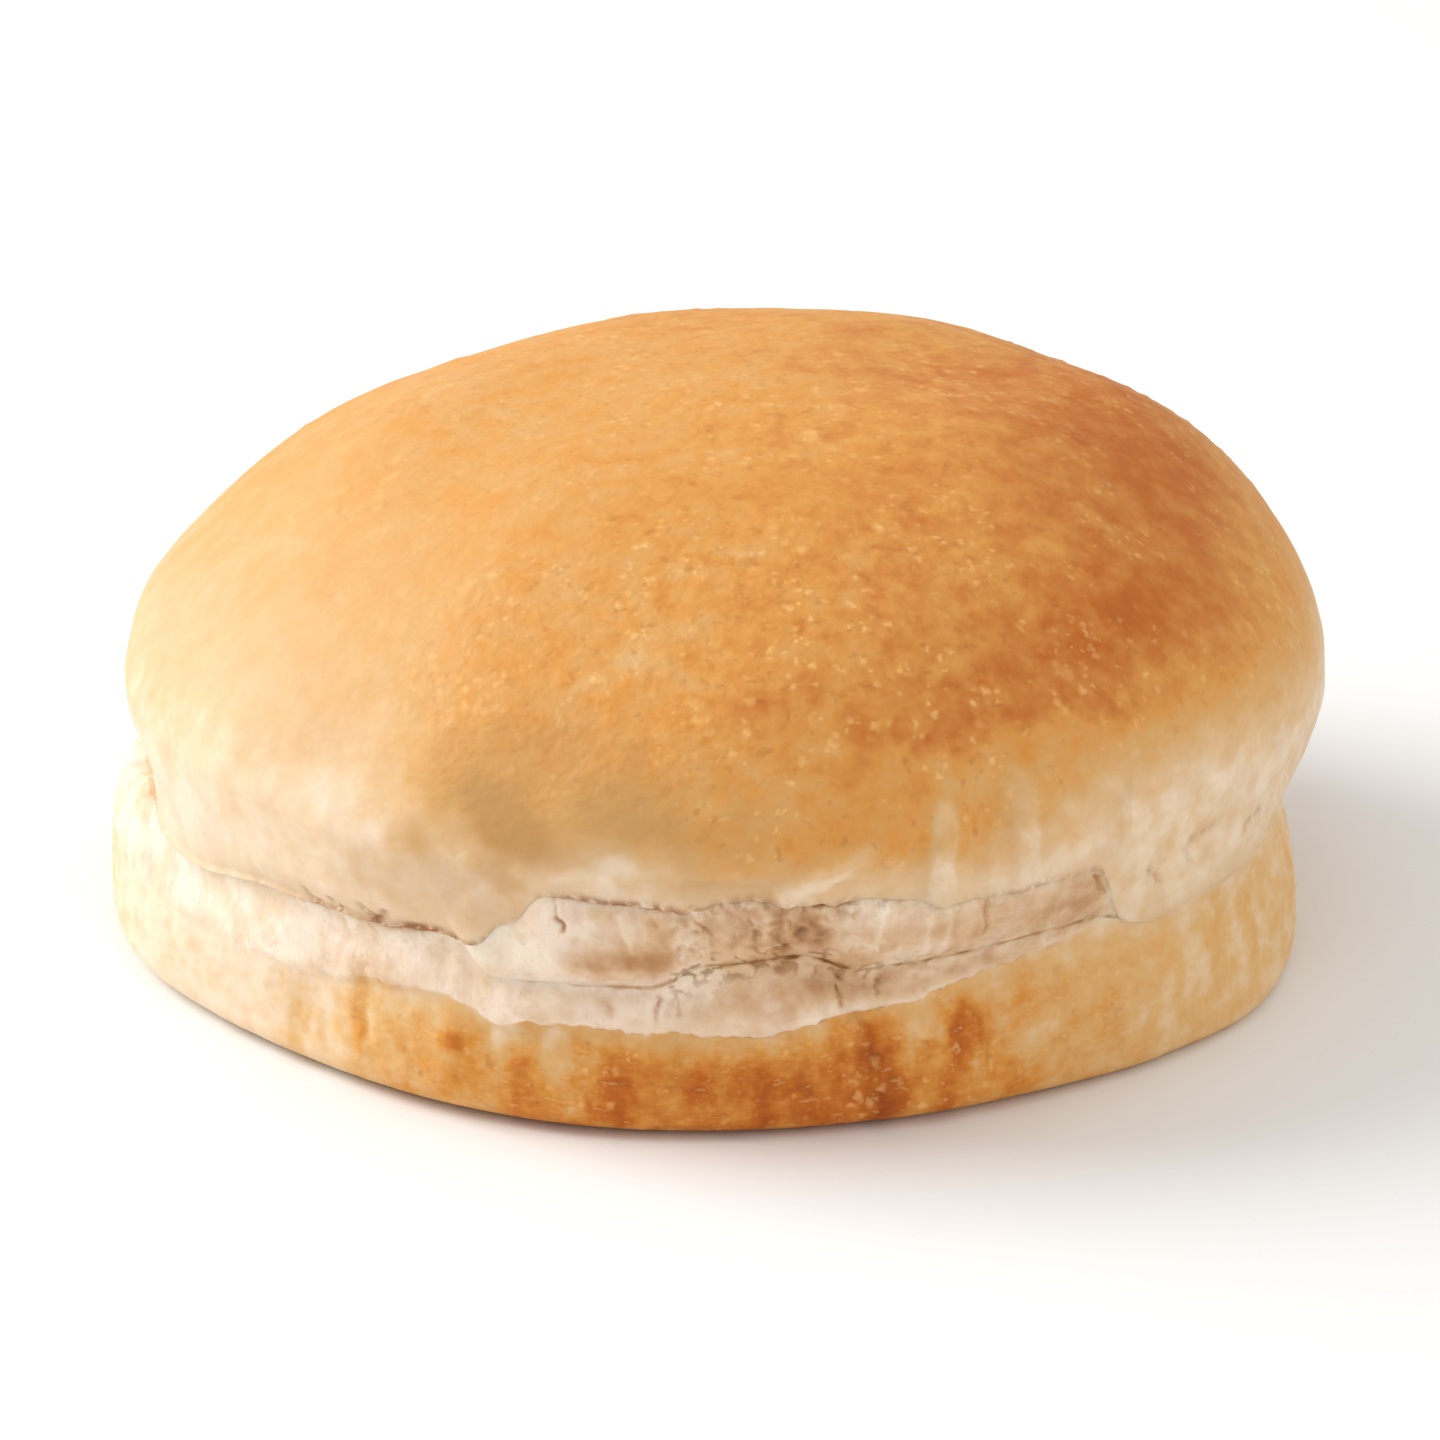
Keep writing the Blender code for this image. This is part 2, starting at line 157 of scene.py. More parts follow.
# How far both edges swell out at the seam between them, in mm, by bearing
SEAM_FILL = (
    (-180, 0.3), (-90, 0), (-66, 0.3), (-45, 0.5), (-30, 0.6), (-24, 0.9), (-18, 0.8), (-12, 0.5), (-4, 0.3),
    (14, 0.2), (24, 0.3), (38, 0.5), (56, 0.5), (68, 0.1), (74, 0), (110, 0), (140, 0.3),
)
# How far the heel's foot draws in, as a share of its radius, by bearing
FOOT_INSET = (
    (-180, 0.108), (28, 0.108), (48, 0.06), (62, 0.02), (76, 0.02), (90, 0.06), (108, 0.108),
)
# How brown the crust's torn lip is, by bearing: partly browned crust and partly painted shadow under the lip
LIP_BROWN_AND_SHADOW = (
    (-180, 0.5), (-66, 0.05), (-56, 0.45), (-44, 0.65), (-36, 0.85), (-30, 1), (-24, 0.9), (-20, 0.2),
    (-16, 0.5), (-13, 1), (-6, 1), (-2, 0.8), (3, 0.7), (9, 0.6), (14, 0.2), (22, 0.2), (25, 0.6), (37, 0.6),
    (42, 0.3), (50, 0.1), (110, 0.1), (140, 0.5),
)
# How far the torn lip stands out from the crumb, 0 to 1, by bearing
LIP = (
    (-180, 0.7), (-140, 0.7), (-120, 0.1), (-60, 0), (-34, 0.1), (-22, 0.1), (-16, 0.5), (-12, 0.8),
    (-5, 0.8), (0, 0.5), (4, 0.3), (9, 0.6), (12.5, 0.2), (15, 0.05), (22, 0), (24.5, 0.2), (35, 0.2),
    (38.5, 0.05), (44, 0), (116, 0.1), (135, 0.7),
)

# Narrow folds of the crust and cracks of the crumb, each along a straight line on the side:
# (bearing, height) at one end, the same at the other, half width, height of the fold or depth of the crack
CRUST_FOLDS = (
    ((5.2, 21.9), (11.6, 24.8), 1, 0.9), ((19.3, 19), (20, 27), 0.95, 0.7),
    ((27.6, 20.6), (28.6, 27), 0.95, 0.65), ((23.4, 22), (24, 26.5), 1.4, -0.35),
    ((17, 21.5), (17.2, 25), 0.9, -0.25), ((33, 26.3), (36.5, 26.4), 0.6, -0.25),
    ((38, 24.4), (42.5, 24.2), 0.6, -0.2), ((29, 25.2), (32, 25.2), 0.5, -0.2),
    ((-24.5, 20.5), (-19.5, 23.6), 0.9, -0.2), ((-14.5, 22.9), (-8, 22.5), 0.8, 0.3),
    ((-160, 22), (-155, 27), 0.8, 0.4), ((146, 21.5), (151, 26), 0.8, 0.4),
    ((120, 22), (129, 23.5), 0.8, -0.25),
)
EDGE_NICKS = (
    ((50.5, 18.4), (54.5, 19.2), 0.35, 0.2), ((49.8, 17.8), (51, 16.4), 0.35, 0.2),
    ((44.4, 17.6), (46.4, 15.8), 0.35, 0.24), ((61.5, 16.6), (65.5, 17.2), 0.4, 0.3),
    ((-35.4, 17), (-34, 16), 0.4, 0.4), ((-34, 16), (-32.6, 17), 0.4, 0.4),
    ((-39.4, 16.6), (-38.2, 15.8), 0.4, 0.35), ((-43, 16.6), (-41.2, 15.9), 0.4, 0.35),
    ((-31, 16), (-27, 16.4), 0.35, 0.3), ((-126, 17), (-123, 15.4), 0.4, 0.3),
    ((112, 15.6), (115, 17), 0.4, 0.3),
)
# Painted highlight: a paler streak along the lit upper side of the flap fold, on the line of the first fold
# above
FLAP_HIGHLIGHT = (((5.2, 21.9), (11.6, 24.8), 1, 0.2),)
CRUMB_CRACKS = (
    ((-14.9, 19.6), (-14.3, 18.9), 0.24, 0.6), ((-15, 21.2), (-14.9, 19.9), 0.14, 0.2),
    ((-3.2, 20.2), (-1.4, 18.6), 0.2, 0.25), ((7.4, 21), (11, 20.9), 0.25, 0.4),
    ((24, 19.4), (24.2, 16.6), 0.22, 0.3), ((36.6, 19), (38.4, 16.8), 0.2, 0.35),
    ((-178, 19.6), (-176.2, 17), 0.2, 0.3), ((163, 18), (161.4, 15.2), 0.22, 0.3),
    ((-152, 19.2), (-150.4, 17.6), 0.2, 0.3),
)
CRUMB_STRANDS = (
    ((-9, 20.2), (-8.3, 17), 0.35, 0.28), ((-7.6, 19.6), (-7, 17.4), 0.3, 0.2),
    ((14, 20.2), (13.4, 17), 0.4, 0.3), ((18.6, 20.6), (17.8, 15.6), 0.6, 0.35),
    ((20.4, 20.6), (20, 15.4), 0.5, 0.3), ((3.2, 20.6), (3.6, 17.6), 0.35, 0.3),
    ((-120, 19.6), (-121, 16), 0.5, 0.3), ((150, 19.6), (151, 16), 0.5, 0.3),
    ((172, 19.6), (170, 16), 0.6, 0.3), ((-166, 19.6), (-168, 16), 0.5, 0.3),
)
RIM_CRACKS = (
    ((-5.2, 12.9), (-5.4, 10.6), 0.22, 0.45), ((-3.2, 12.4), (-3.4, 10.8), 0.16, 0.2),
    ((-10.2, 12.4), (-9.6, 11.5), 0.4, 0.4), ((11.4, 14.8), (11.8, 13.6), 0.28, 0.4),
    ((11.4, 12.6), (12, 11.4), 0.24, 0.4), ((15.6, 13.4), (15.8, 11.8), 0.22, 0.35),
    ((13.6, 9.8), (14.6, 8.4), 0.5, 0.4), ((34.6, 10.9), (34.4, 8.6), 0.4, 0.25),
    ((60.2, 9.2), (60.6, 7.4), 0.4, 0.2), ((-36, 9.6), (-35.6, 5.5), 0.8, 0.2),
    ((-171, 13), (-170, 11.4), 0.22, 0.35), ((150, 13.4), (151.6, 11.8), 0.22, 0.35),
)

# How baked the crust is, 0 pale to 1 brown. The pale line is the middle height of the change from pale to
# golden crust, by bearing, and the pale fade is the height over which it changes. On the left, from about -100
# to -42 degrees, the high pale line and the long fade are partly painted light, on the side the key lamp
# lights.
PALE_LINE = (
    (-180, 26.5), (-140, 27.5), (-100, 29), (-75, 31), (-55, 32.5), (-42, 32), (-33, 29.5), (-27, 27),
    (-18, 26.2), (-12, 26.4), (-5, 24.2), (0, 23), (8, 23.2), (15, 23), (24, 24.2), (33, 25), (42, 26.8),
    (55, 27.4), (70, 27), (100, 27), (140, 26.5),
)
PALE_FADE = (
    (-180, 12), (-100, 18), (-75, 26), (-55, 26), (-42, 22), (-33, 16), (-26, 13), (-12, 9), (-2, 6), (16, 6),
    (24, 6.5), (33, 8), (45, 10), (60, 11), (110, 11),
)
# Soft changes of bake: (bearing, height, half width in degrees, half height, tone). The paler one round -80
# degrees, on the left, is partly painted light where the key lamp falls.
CROWN_TONES = (
    (50, 36.5, 18, 5, 0.18), (78, 40, 24, 5, 0.13), (104, 43.5, 36, 4.5, 0.14), (24, 33, 16, 4, 0.12),
    (7, 27.5, 9, 3, 0.03), (-64, 17, 14, 5, -0.08), (-36, 26, 5, 6, -0.05), (-35, 37, 16, 5, -0.05),
    (28, 38, 26, 6, 0.06), (60, 45, 50, 2.6, 0.08), (-80, 38, 40, 10, -0.12), (170, 36, 50, 8, 0.06),
    (-140, 34, 30, 6, 0.05), (-7, 29.5, 11, 4, -0.09), (-8.5, 23.8, 5, 1.6, -0.06), (37, 27.6, 7, 2.6, -0.09),
    (22, 29.5, 14, 2.5, -0.1),
)
# Patches with a clearer border: (bearing, height, half length, half width, turn from level, tone). The upright
# paler ones at 19.5 and 28.2 degrees lie on two crust folds and are partly painted light, and the darker one
# at 23.8 degrees between them is partly painted shade.
CRUST_PATCHES = (
    (-17, 28.6, 10.5, 5.6, 0, 0.03), (-20.7, 26.7, 4.2, 1.8, -28, 0.06), (-7, 24.9, 4.2, 1.5, 0, -0.07),
    (-13, 24, 3, 1.1, 12, -0.05), (19.5, 23.8, 4.2, 1.1, 92, -0.24), (28.2, 23.4, 4.4, 1.1, 93, -0.22),
    (23.8, 24.4, 3, 1.2, 92, 0.1), (26, 27.6, 3.2, 1.8, 0, -0.1), (33, 31, 4, 1.6, 10, -0.05),
    (2, 36, 5, 3, 20, 0.05), (-28, 38, 6, 2.6, -20, 0.05), (-12, 38.5, 4, 2, 15, -0.05),
    (150, 28, 8, 3, 5, 0.06), (-150, 29, 7, 3, -8, 0.06), (172, 34, 6, 3, 12, -0.06),
    (110, 27, 6, 2.4, 20, 0.06),
)
# Tan patches of the crust, (bearing, height, half length, half width, turn from level, tone): partly its own
# tone and partly painted shade, as in the soft smudge at the front left and above the left seam, where the side
# curls under.
TAN_AND_SHADE_PATCHES = (
    (-17.5, 28.2, 10.8, 5.8, 0, 0.42), (-20.7, 26.7, 4.4, 1.9, -28, 0.52), (-9.5, 29.2, 5, 2.2, -8, 0.25),
    (-27, 20.6, 9, 3.4, -6, 0.36), (-1, 26.6, 5, 2, 8, 0.22), (36, 20.4, 4, 1, 8, 0.2),
    (160, 25, 8, 3, 6, 0.3), (-150, 25, 9, 3, -6, 0.3), (118, 24, 7, 2.6, 10, 0.25),
    (-0.5, 22.4, 3.6, 1.1, 0, 0.55),
)
HEEL_PATCHES = (
    (-45, 5, 3, 1.2, 85, 0.05), (-36.5, 6.4, 3.4, 1, 88, 0.12), (-29.5, 7, 2.2, 1.6, 10, 0.06),
    (-24.3, 7, 2, 1.2, 20, 0.16), (-19.6, 7, 2.6, 1.2, 82, -0.12), (-14.8, 6.8, 2.8, 1.3, 96, -0.16),
    (-10, 4, 3, 1.8, 10, 0.06), (-3, 7.6, 2.6, 1.2, 0, -0.06), (4, 5, 3, 2, 80, 0.05),
    (9, 7.4, 2.2, 1.6, 70, -0.08), (19.8, 6.2, 4, 1.7, 88, -0.12), (24.8, 7.6, 3.2, 1.4, 84, 0.17),
    (31.5, 6.4, 2.6, 1.6, 60, -0.07), (40, 8, 3, 1.6, 80, 0.06), (52, 7, 3, 1.8, 95, -0.05),
    (62, 8, 3.4, 1.4, 88, 0.06), (84, 6, 3.4, 2, 80, 0.08), (104, 7, 3, 2, 95, -0.08),
    (126, 6, 3.6, 2, 85, 0.12), (148, 6.5, 3, 2, 95, -0.12), (166, 5, 3.6, 2, 85, 0.14),
    (-174, 7, 3, 2.2, 80, -0.12), (-158, 5.5, 3.6, 1.8, 95, 0.12), (-138, 7, 3.2, 2, 85, -0.1),
    (-118, 6, 3.4, 2, 92, 0.1), (-98, 6, 3, 2, 85, 0.06),
)
# Darker patches of the crumb: (bearing, height, half width in degrees, half height, depth). Partly the crumb's
# own tan tone and partly painted shade, as below the lobe at -11.2 degrees.
CRUMB_TONES_AND_SHADE = (
    (-11.2, 15.6, 3.6, 1.8, 0.46), (-6.3, 15.6, 2.4, 1.6, 0.4), (-10, 20.4, 5, 0.7, 0.2),
    (-16.6, 17, 1.6, 2.4, -0.12), (-8.4, 18.6, 0.7, 1.8, -0.12), (-34, 9.9, 6, 3, 0.36),
    (1, 18.8, 4.6, 2.8, 0.54), (6.2, 18.2, 3.6, 2.8, 0.64), (13, 18, 4.4, 3, 0.36),
    (17.5, 17.2, 2.2, 1.3, 0.28), (-13, 11.5, 6, 1.8, 0.1), (8.6, 12.6, 1.6, 1.2, 0.3),
    (-8, 17.2, 3.4, 2.2, 0.22), (-5, 19.6, 2.6, 1.2, 0.2), (12, 13, 3.4, 1.6, 0.42), (4, 12.2, 5, 2.2, 0.34),
    (17, 12.8, 3.6, 1.6, 0.4), (22, 17, 3.4, 3.5, 0.32), (30, 17.4, 7, 2.6, 0.3), (37, 15, 3, 1, 0.35),
    (27, 13, 7, 1.4, 0.4), (9, 15.4, 8, 1.4, 0.15), (35, 17.8, 6, 3, 0.36), (150, 17, 14, 2.4, 0.2),
    (-160, 17, 14, 2.4, 0.2),
)
# How baked the heel's crust is, by bearing. Its paleness on the left, from about -100 to -42 degrees, is partly
# painted light where the key lamp falls.
HEEL_BAKE = (
    (-180, 0.6), (-140, 0.52), (-100, 0.22), (-70, 0.02), (-52, 0.05), (-42, 0.18), (-30, 0.34), (-22, 0.46),
    (-17, 0.58), (-8, 0.66), (6, 0.68), (13, 0.76), (16, 0.9), (19, 0.7), (28, 0.46), (34, 0.38), (50, 0.26),
    (70, 0.2), (90, 0.25), (130, 0.48),
)

# How lively the crust's mottling, specks and grain are, by bearing
LIVELY = (
    (-180, 0.9), (-120, 0.75), (-75, 0.4), (-45, 0.35), (-28, 0.75), (-14, 1), (20, 1), (45, 0.8), (58, 0.7),
    (100, 0.7), (150, 0.9),
)
LIVELY_TOP = 0.7

# Density of the pieces' grids
FRONT_CROWDING = 0.42
MEAN_TURN = 2.45
CRUST_COLUMNS, CRUST_ROWS, LIP_ROWS = 660, 134, 8
CRUMB_COLUMNS, CRUMB_ROWS = 1000, 66
HEEL_COLUMNS, RIM_ROWS, WALL_ROWS, FOOT_ROWS = 880, 36, 34, 12
CORNER_ROWS = 6
CUT_FACE_SHARES = (0.15, 0.35, 0.55, 0.7, 0.8, 0.88, 0.94, 0.975)
HIDDEN_SHARES, HIDDEN_HEIGHT = (0.4, 0.8, 0.97), 24
CLOSING_SHARES, CLOSING_HEIGHT = (0.8, 0.4), 25
BASE_SHARES = (0.93, 0.75, 0.5, 0.25)
LATTICE = 32

# Edges, in mm. A pair gives the value at none and at all of the lip or the closeness
LIP_THICKNESS = (0.2, 0.75)
LIP_LOOK = 14
LIP_BACK, LIP_DOWN = 1.3, 0.9
CRUMB_SETBACK = (0, 0.42)
HIDDEN_SETBACK = 1.3
CROWN_CORNER = (0.26, 0.05)
HEEL_CORNER = (0.14, 0.05)
CROWN_SINK = (0.22, 0.3)
HEEL_RISE = (0.12, 0.42)
CROSSING = 0.05
CROSSING_REACH = 0.3
LOWERED_REACH = 0.4
CUT_MEETING = 0.17
CUT_ROUGHNESS = 0.05
SEAM_REACH = 2.4
FLUSH_REACH = 2.4
CALM_REACH = 1.1
SEAM_LOOK = np.radians(np.linspace(-7, 7, 15))
PATCH_EDGE = 0.8

# Noise in the shapes: rows of (strength, size in mm, seed, layers)
PATCH_BEND = ((0.4, 3.6, 33, 2),)
STREAK_ASIDE = ((0.36, 1.3, 71, 3),)
STREAK_UPWARD = ((0.3, 1.3, 72, 3),)
SEAM_BREAKS = ((1.3, 1.9, 57, 1), (0.7, 0.8, 58, 1))
SEAM_LINE_BREAKS = ((1.6, 2.1, 81, 1), (0.9, 0.8, 82, 1))
SEAM_LINE_WIDTH = ((0.14, 1.2, 83, 1),)
TEAR_WAVES = ((0.34, 3.1, 11, 1),)
TEAR_NIBBLES = ((0.24, 1.1, 12, 1), (0.12, 0.45, 13, 1))
LIP_WAVES = ((0.3, 1.6, 14, 1),)
LIP_TONE_BREAKS = ((1.2, 2.4, 15, 1),)
BLISTER_CLUSTERS = ((0.8, 15, 23, 2),)
CRUST_LUMPS = ((0.15, 12, 21, 2), (0.05, 3.6, 22, 2))
BAKE_WAVES = ((0.7, 6, 31, 3),)
CRUMB_NIBBLES = ((0.6, 2.6, 41, 1), (0.5, 0.9, 42, 1))
CRUMB_LUMPS = ((0.09, 4.5, 49, 2),)
CRUMB_ROUGH_WAVES = ((1, 4, 44, 1),)
CRUMB_TONE_BREAKS = ((1, 2.2, 84, 2),)
CUT_GRAIN = ((1, 4, 61, 1),)
RIM_NIBBLES = ((0.6, 2.2, 51, 1), (0.5, 0.8, 52, 1))
RIM_WAVES = ((0.6, 3.4, 53, 1), (0.4, 1.3, 54, 1), (0.14, 0.5, 55, 1))
RIM_LUMPS = ((0.09, 4, 66, 2),)
HEEL_LUMPS = ((0.15, 7, 64, 2),)
HEEL_FURROWS = ((0.1, 2.4, 67, 2),)
HEEL_GRAIN = ((0.06, 1.8, 63, 2),)
HEEL_BAKE_WAVES = ((0.1, 5, 65, 3),)

# Open pores of the torn crumb, the second row beside the cut only: (depth, size in mm, seed, share of cells)
CRUMB_PORES = ((0.3, 1.6, 47, 0.35), (0.35, 1.1, 48, 0.5))
RIM_PORES = ((0.15, 1.8, 59, 0.3), (0.3, 1.1, 60, 0.5))
BLISTER_REACH = (0.2, 0.42)
UP = np.array((0, 0, 1))


def along(bearing, knots):
    """Value of a line at a bearing. Smooth steps lead from each knot to the next, and from the last to the
    first."""
    places, values = np.array((*knots, (180, knots[0][1])), float).T
    degrees = (np.degrees(bearing) + 180) % 360 - 180
    after = np.clip(np.searchsorted(places, degrees, side="right"), 1, len(places) - 1)
    share = (degrees - places[after - 1]) / (places[after] - places[after - 1])
    return values[after - 1] + (values[after] - values[after - 1]) * smooth(share)


def smooth(share):
    """Smooth step: 3s^2 - 2s^3 of a share held between 0 and 1."""
    share = np.clip(share, 0, 1)
    return share * share * (3 - 2 * share)


def bell(distance, reach):
    """Bell curve, 1 at no distance: e to the power of minus the square of distance over reach."""
    return np.exp(-((distance / reach) ** 2))


def between(pair, share):
    """Value at a share of the way from a pair's first to its second."""
    return pair[0] + (pair[1] - pair[0]) * share


def apart(bearing, degrees):
    """Angle in degrees, -180 to 180, from a table's bearing to this one."""
    return (np.degrees(bearing) - degrees + 180) % 360 - 180


def outline(bearing, radius, waves):
    """Radius of an outline seen from above: a circle with a few slow waves."""
    swell = sum(share * np.cos(lobes * (bearing - math.radians(start))) for lobes, share, start in waves)
    return radius * (1 + swell)


def pillows(bearing, height, low, high, table):
    """Swell of a row of crumb pillows between two heights: rounded humps, with a crease where two meet."""
    humps = [swell * np.maximum(0, 1 - (apart(bearing, centre) / half) ** 2) for centre, half, swell in table]
    part = np.clip((height - low) / np.maximum(high - low, 1), 0, 1)
    return np.max(humps, axis=0) * np.sin(math.pi * part) ** PILLOW_FULLNESS


def dents(bearing, height, table):
    """Sum of soft dents and folds: each is its depth times a bell across the bearing and the height."""
    total = np.zeros(np.broadcast(bearing, height).shape)
    for centre, level, half_width, half_height, depth in table:
        across = apart(bearing, centre) / half_width
        up = (height - level) / half_height
        total = total + depth * np.exp(-(across**2) - up**2)
    return total


def streaks(bearing, height, table):
    """Narrow ridges or cracks: each is its depth times a bell of the distance to a line between two places.
    Noise shifts the places a little, so that the lines come out ragged."""
    total = np.zeros(np.broadcast(bearing, height).shape)
    arc = math.radians(1) * HEEL_RADIUS
    around = HEEL_RADIUS * outward(bearing) + point(0, 0, height)
    aside, upward = mixed(around, STREAK_ASIDE), mixed(around, STREAK_UPWARD)
    for (from_bearing, from_height), (to_bearing, to_height), half_width, depth in table:
        across, up = apart(bearing, from_bearing) * arc + aside, height - from_height + upward
        run, rise = (to_bearing - from_bearing) * arc, to_height - from_height
        share = np.clip((across * run + up * rise) / (run * run + rise * rise), 0, 1)
        distance = np.hypot(across - share * run, up - share * rise)
        total = total + depth * bell(distance, half_width)
    return total


def patches(bearing, height, place, table):
    """Sum of patches with a clear border: each is its tone inside a leaning oval whose border noise bends."""
    total = np.zeros(np.broadcast(bearing, height).shape)
    bend = mixed(place, PATCH_BEND)
    for centre, level, half_length, half_width, turned, tone in table:
        across, up = np.radians(apart(bearing, centre)) * CROWN_RADIUS, height - level
        cosine, sine = math.cos(math.radians(turned)), math.sin(math.radians(turned))
        lengthwise, crosswise = across * cosine + up * sine, up * cosine - across * sine
        reach = np.hypot(lengthwise / half_length, crosswise / half_width)
        total = total + tone * smooth((1 - reach - bend) / PATCH_EDGE + 0.5)
    return total


def unevenness(x, y, z):
    """Slow waves through space that keep the skin from being a perfect form."""
    total = 0
    for in_x, in_y, in_z, start in UNEVEN_WAVES:
        total = total + np.sin((in_x * x + in_y * y + in_z * z) * math.tau / 100 + math.radians(start))
    return UNEVENNESS * total


def noise(points, size, seed):
    """Smooth random field, about -1 to 1. Each corner of a cubic lattice, with cells of that size, holds a
    random slope, and a quintic step blends the slopes of the eight corners round a point."""
    slopes = np.random.default_rng(seed).normal(size=(LATTICE, LATTICE, LATTICE, 3))
    slopes /= np.linalg.norm(slopes, axis=-1, keepdims=True)
    place = points / size
    cell = np.floor(place).astype(int)
    within = place - cell
    fade = within**3 * (within * (within * 6 - 15) + 10)
    total = np.zeros(points.shape[:-1])
    for corner in np.ndindex(2, 2, 2):
        index = (cell + corner) % LATTICE
        slope = slopes[index[..., 0], index[..., 1], index[..., 2]]
        weight = np.prod(np.where(corner, fade, 1 - fade), axis=-1)
        total += weight * np.sum(slope * (within - corner), axis=-1)
    return 1.5 * total


def layered(points, size, seed, layers):
    """Sum of noise at ever smaller sizes, each half as big and half as strong as the one before."""
    return sum(noise(points, size / 2**layer, seed + layer) / 2**layer for layer in range(layers))


def mixed(points, table):
    """Sum of a table's noise, each row's layers times its strength."""
    return sum(strength * layered(points, *row) for strength, *row in table)


def creases(points, size, seed):
    """Noise folded at its middle value: 0 along winding creases and up to about 1 between them."""
    return np.abs(noise(points, size, seed))


def pores(points, size, seed, share, reach=(0.15, 0.5)):
    """Round holes, 1 in the middle and 0 outside. Each cell of a cubic lattice holds one hole's middle at a
    random place, a share of the cells have one, and its radius is random within the reach."""
    dice = np.random.default_rng(seed)
    middles = dice.uniform(0.15, 0.85, (LATTICE, LATTICE, LATTICE, 3))
    radii = dice.uniform(*reach, (LATTICE, LATTICE, LATTICE))
    radii = np.where(dice.uniform(size=radii.shape) < share, radii, 1e-3)
    place = points / size
    cell = np.floor(place).astype(int)
    deepest = np.zeros(points.shape[:-1])
    for step in np.ndindex(3, 3, 3):
        near = cell + np.array(step) - 1
        index = tuple((near % LATTICE)[..., axis] for axis in range(3))
        distance = np.linalg.norm(near + middles[index] - place, axis=-1)
        deepest = np.maximum(deepest, 1 - (distance / radii[index]) ** 2)
    return deepest


def holes(points, table, near_cut, power):
    """Depth of the crumb's open pores: larger ones everywhere, and smaller ones only near the cut."""
    wide, small = (depth * pores(points, *row) ** power for depth, *row in table)
    return wide + near_cut * small


def tatters(points, size, seed):
    """Torn crumb, about -1 to 1: noise whose folds are turned up to sharp crests, at two sizes."""
    crests, small = 1 - 3.2 * creases(points, size, seed), 1 - 3.2 * creases(points, size * 0.45, seed + 1)
    return 0.65 * crests + 0.35 * small


def bent(points, size, amount, seed):
    """The points, each moved by smooth noise of an amount in mm, so that what lies over them is ragged."""
    return points + amount * point(*(noise(points, size, seed + axis) for axis in range(3)))


def columns(count):
    """Bearings of a grid's columns, crowded towards the front."""
    even = np.linspace(-math.pi, math.pi, count, endpoint=False)
    return even - FRONT_CROWDING * np.sin(even)


def point(x, y, z):
    """Stacks x, y and z arrays of any shapes that match into one array of points."""
    return np.stack(np.broadcast_arrays(x, y, z), axis=-1)


def outward(bearing):
    """Level direction away from the bun's middle at a bearing."""
    return point(np.sin(bearing), -np.cos(bearing), 0)


def cut_edge(bearing):
    """Height of the knife's cut at the side."""
    return along(bearing, CUT_LINE)


def girth(bearing):
    """Height of the crown's widest place."""
    return GIRTH_HEIGHT + GIRTH_TILT * np.sin(bearing)


def seam_bearing(bearing):
    """Bearing about the heel's middle of the crown's lower edge, which is given by one about the crown's."""
    out = outline(bearing, CROWN_RADIUS, CROWN_WAVES) - CROWN_UNDERCUT
    x = CROWN_SHIFT[0] - HEEL_SHIFT[0] + out * np.sin(bearing)
    y = CROWN_SHIFT[1] - HEEL_SHIFT[1] - out * np.cos(bearing)
    return np.arctan2(x, -y)


def closeness(bearing):
    """How closely the two edges meet, 0 to 1. Noise opens and shuts the seam where it is neither."""
    closed = along(bearing, CLOSED)
    broken = mixed(HEEL_RADIUS * outward(bearing), SEAM_BREAKS)
    return np.clip(closed + broken * 4 * closed * (1 - closed), 0, 1)


def crown_cut(bearing):
    """Height of the knife's cut at the crown's edge."""
    return cut_edge(seam_bearing(bearing))


def crown_foot(bearing):
    """Height at which the crown's side ends: below the cut, and lower still where the edges meet closely."""
    return crown_cut(bearing) - between(CROWN_SINK, along(bearing, CLOSED))


def crown_skin(bearing, turn):
    """Crown's plain skin and its normal. The turn is 0 at the top, a quarter at the girth and a half at the cut
    edge: a superellipse dome whose middle leans to the apex, then a wall that curls in to the cut."""
    over = np.clip(turn, 0, QUARTER)
    under = np.clip(turn - QUARTER, 0, QUARTER)
    rise = np.clip(np.cos(over), 0, 1) ** DOME_FALL
    radius = outline(bearing, CROWN_RADIUS, CROWN_WAVES) * np.sin(over) ** DOME_SHOULDER
    radius = radius - CROWN_UNDERCUT * (1 - np.cos(under))
    widest = girth(bearing)
    height = widest + (BUN_HEIGHT - widest) * rise - (widest - crown_cut(bearing)) * np.sin(under)
    x = CROWN_SHIFT[0] + APEX_SHIFT[0] * rise + radius * np.sin(bearing)
    y = CROWN_SHIFT[1] + APEX_SHIFT[1] * rise - radius * np.cos(bearing)
    slope_out = np.sin(over) * np.cos(under)
    slope_up = np.cos(over) - np.sin(under) * UNDERSIDE_RELIEF
    normal = slope_out[..., None] * outward(bearing) + slope_up[..., None] * UP
    relief = dents(bearing, height, CROWN_DENTS) * np.sin(over) + unevenness(x, y, height) * np.cos(under)
    return point(x, y, height) + relief[..., None] * normal, normal


def turn_at(bearing, height):
    """Turn at which the crown's side, below the girth, is at a height."""
    drop = (girth(bearing) - height) / (girth(bearing) - crown_cut(bearing))
    return QUARTER + np.arcsin(np.clip(drop, 0, 1))


